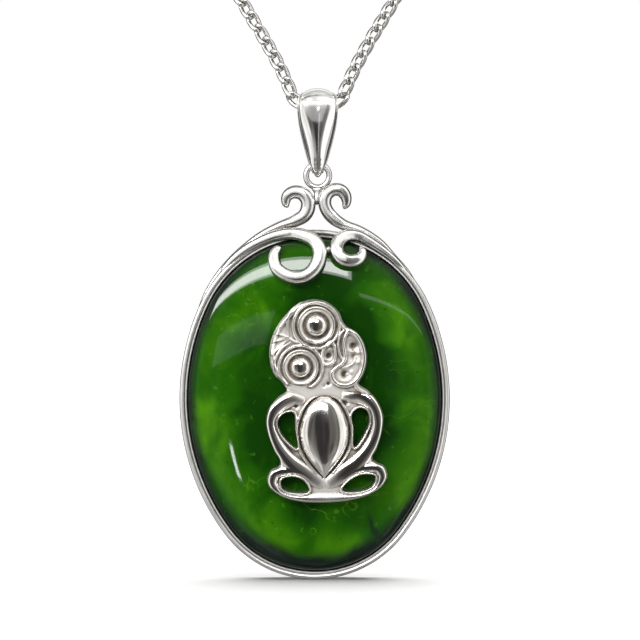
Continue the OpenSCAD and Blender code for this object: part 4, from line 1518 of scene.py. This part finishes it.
@dataclass
class Studio:
    """Pale floor, soft lights, bright surroundings and the camera."""

    middle: tuple = (0.00028, 0.0, -0.2009)
    distance: float = 0.28
    view_width: float = 0.0768
    floor_z: float = -0.2319
    floor_reach: float = 8.0
    overhead: float = 3.9
    overhead_spread: float = 84.0
    overhead_tilt: float = -13.0
    # Smooth steps of the room's light: from low, from high, to low, to high.
    room_ramp: tuple = (-0.94, -0.52, 0.09, 0.46)
    room_behind: tuple = (-0.05, 0.55, 1.0, 0.12)
    room_clutter: tuple = (0.40, 0.60, 0.35, 1.35)
    lamps: list = field(
        default_factory=lambda: [
            Lamp("lamp_key", -27, 28, 66, 8, 14.0, Lit.STONE),
            Lamp("lamp_key_wide", -27, 29, 68, 13, 8.5, Lit.NOT_BAIL),
            Lamp("lamp_patch", -19, 6, 24, 6, 0.9, Lit.STONE),
            Lamp("lamp_line", 31, 14.5, 42, 1.3, 2.2, Lit.STONE),
            Lamp("lamp_glint", -19, -11.5, 1.4, 5, 22.0, Lit.STONE),
            Lamp("lamp_left", -74, 2, 56, 90, 0.5, Lit.METAL),
            Lamp("lamp_right", 68, 2, 52, 90, 0.56, Lit.METAL),
            Lamp("lamp_top", 5, 60, 90, 44, 0.65, Lit.METAL),
            Lamp("lamp_low", 0, -52, 90, 26, 0.18, Lit.NOT_BAIL),
            Lamp("lamp_back", 180, 6, 52, 90, 0.5, Lit.METAL),
            Lamp("lamp_front", -14, 14, 44, 44, 0.68, Lit.TRIM),
            Lamp("lamp_crown", -12, 30, 70, 46, 0.34, Lit.BAIL),
            Lamp("lamp_over", 176, 62, 100, 60, 0.5, Lit.BAIL),
            Lamp("lamp_spark", 2, 30, 3, 8, 5.0, Lit.BAIL),
            Lamp("lamp_slit", 7, -14, 5, 62, 0.5, Lit.BAIL),
            Lamp("lamp_flank_left", -92, -14, 90, 70, 0.1, Lit.BAIL),
            Lamp("lamp_flank_right", 84, -14, 90, 70, 0.36, Lit.BAIL),
        ]
    )

    def camera(self) -> None:
        """Sets the camera: a long lens in front of the pendant, level with its middle."""
        data = bpy.data.cameras.new("camera")
        data.sensor_width = 36
        data.lens = 36 * self.distance / self.view_width
        data.clip_start, data.clip_end = 0.01, 20
        made = bpy.data.objects.new("camera", data)
        bpy.context.scene.collection.objects.link(made)
        made.location = (self.middle[0], -self.distance, self.middle[2])
        made.rotation_euler = (math.radians(90), 0, 0)
        bpy.context.scene.camera = made

    def floor(self) -> None:
        """Lays a wide pale floor just under the pendant, which polished faces don't mirror."""
        g = Graph("floor_pale")
        shade = g.spread(g.noise(6, 2), 0.3, 0.7, 0.0, 0.02)
        colour = g.blend(shade, (0.93, 0.93, 0.93, 1), (0.88, 0.88, 0.88, 1))
        shader = g.node("ShaderNodeBsdfPrincipled", Base_Color=colour, Roughness=0.9)
        mesh = bpy.data.meshes.new("floor")
        r, z = self.floor_reach, self.floor_z
        mesh.from_pydata([(-r, -r, z), (r, -r, z), (r, r, z), (-r, r, z)], [], [(0, 1, 2, 3)])
        mesh.materials.append(g.finish(shader))
        floor = bpy.data.objects.new("floor", mesh)
        bpy.context.scene.collection.objects.link(floor)
        floor.visible_glossy = False
        sky = bpy.data.lights.new("lamp_overhead", "SUN")
        sky.energy = self.overhead
        sky.angle = math.radians(self.overhead_spread)
        made = bpy.data.objects.new("lamp_overhead", sky)
        bpy.context.scene.collection.objects.link(made)
        made.rotation_euler = (math.radians(self.overhead_tilt), 0, 0)
        made.visible_glossy = False
        only_floor = bpy.data.collections.new(f"lit_{Lit.FLOOR.value}")
        only_floor.objects.link(floor)
        made.light_linking.receiver_collection = only_floor

    def surroundings(self) -> None:
        """Fills the world: white behind the pendant, and a dim room in reflections.

        The room's light from direction d is a smooth step of its share towards the
        front, from dark at the camera to light grey beside the pendant, times another
        that darkens it straight behind, times a noise that is stretched upright, as
        curtains and stands look in polished metal.
        """
        world = bpy.data.worlds.new("room")
        world.use_nodes = True
        tree = world.node_tree
        tree.nodes.clear()
        new, link = tree.nodes.new, tree.links.new
        way, parts = new("ShaderNodeTexCoord"), new("ShaderNodeSeparateXYZ")
        ramp, far = new("ShaderNodeMapRange"), new("ShaderNodeMapping")
        clutter, contrast = new("ShaderNodeTexNoise"), new("ShaderNodeMapRange")
        room, shade, sides = new("ShaderNodeMath"), new("ShaderNodeMapRange"), new("ShaderNodeMath")
        seen, choice = new("ShaderNodeLightPath"), new("ShaderNodeMixShader")
        dim, white = new("ShaderNodeBackground"), new("ShaderNodeBackground")
        output = new("ShaderNodeOutputWorld")
        ranges = ((ramp, self.room_ramp), (contrast, self.room_clutter), (shade, self.room_behind))
        for node, numbers in ranges:
            node.interpolation_type = "SMOOTHSTEP"
            for key, number in zip(RANGE_INPUTS, numbers):
                node.inputs[key].default_value = number
        far.inputs["Scale"].default_value = (2.6, 2.6, 0.7)
        clutter.inputs["Scale"].default_value = 1.0
        clutter.inputs["Detail"].default_value = 2.0
        room.operation = sides.operation = "MULTIPLY"
        link(way.outputs["Generated"], parts.inputs[0])
        link(way.outputs["Generated"], far.inputs["Vector"])
        link(far.outputs[0], clutter.inputs["Vector"])
        link(parts.outputs["Y"], ramp.inputs["Value"])
        link(clutter.outputs["Fac"], contrast.inputs["Value"])
        link(parts.outputs["Y"], shade.inputs["Value"])
        link(ramp.outputs["Result"], sides.inputs[0])
        link(shade.outputs["Result"], sides.inputs[1])
        link(sides.outputs[0], room.inputs[0])
        link(contrast.outputs["Result"], room.inputs[1])
        link(room.outputs[0], dim.inputs["Strength"])
        dim.inputs["Color"].default_value = (1.0, 0.97, 0.93, 1)
        white.inputs["Color"].default_value = (1, 1, 1, 1)
        link(seen.outputs["Is Camera Ray"], choice.inputs[0])
        link(dim.outputs[0], choice.inputs[1])
        link(white.outputs[0], choice.inputs[2])
        link(choice.outputs[0], output.inputs[0])
        bpy.context.scene.world = world

    def hang_lamps(self, metal: list, bail: Object, stone: Object) -> None:
        """Hangs the lamps, each linked to the pieces that it lights, so never to the floor.

        Args:
            metal: The silver pieces but for the bail; the figure is the last one.
            bail: The bail.
            stone: The stone.

        Returns:
            Nothing.
        """
        pieces = {
            Lit.METAL: [*metal, bail],
            Lit.NOT_BAIL: [*metal, stone],
            Lit.BAIL: [bail],
            Lit.STONE: [stone],
            Lit.TRIM: metal[:-1],
        }
        groups = {}
        for lit, members in pieces.items():
            groups[lit] = bpy.data.collections.new(f"lit_{lit.value}")
            for piece in members:
                groups[lit].objects.link(piece)
        for lamp in self.lamps:
            hung = lamp.build(self.middle)
            hung.light_linking.receiver_collection = groups[lamp.lights]

    def build(self) -> None:
        """Sets up the room and the camera."""
        self.camera()
        self.floor()
        self.surroundings()
        bpy.context.scene.view_settings.view_transform = "Standard"


@dataclass
class Clasp:
    """The clasp and its two jump rings, which keep their solids."""

    nodes: tuple = ("clasp", "clasp_ring_left", "clasp_ring_right")

    def dress(self, material: Material) -> list:
        """Gives the clasp's solids their finish.

        Args:
            material: The clasp's finish.

        Returns:
            The solids' objects.
        """
        pieces = [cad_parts[name] for name in self.nodes]
        for piece in pieces:
            piece.data.materials.clear()
            piece.data.materials.append(material)
            log.info("%s: dressed", piece.name)
        return pieces


def main() -> None:
    """Builds the room and every piece in order."""
    studio = Studio()
    studio.build()
    chain_silver = Silver(
        "silver_chain", bright=(0.88, 0.87, 0.85, 1), smooth=0.16, rough=0.26, scratched=0.15
    )
    metal = [
        CurbChain().build(chain_silver.build()),
        *Clasp().dress(Silver("silver_clasp", smooth=0.12, rough=0.22).build()),
        Setting().build(Silver("silver_setting", smooth=0.1, rough=0.2, scratched=0.3).build()),
        Figure().build(
            Silver(
                "silver_figure",
                bright=(0.96, 0.93, 0.885, 1),
                # dark is the colour of the painted shade in the figure's hollows.
                dark=(0.15, 0.115, 0.08, 1),
                smooth=0.07,
                rough=0.13,
                matt=0.42,
                pits=0.2,
            ).build()
        ),
    ]
    bail = Bail().build(Silver("silver_bail", smooth=0.11, rough=0.18, scratched=0.6).build())
    stone = Stone().build(GreenStone("green_stone").build())
    studio.hang_lamps(metal, bail, stone)


if __name__ == "__main__":
    main()
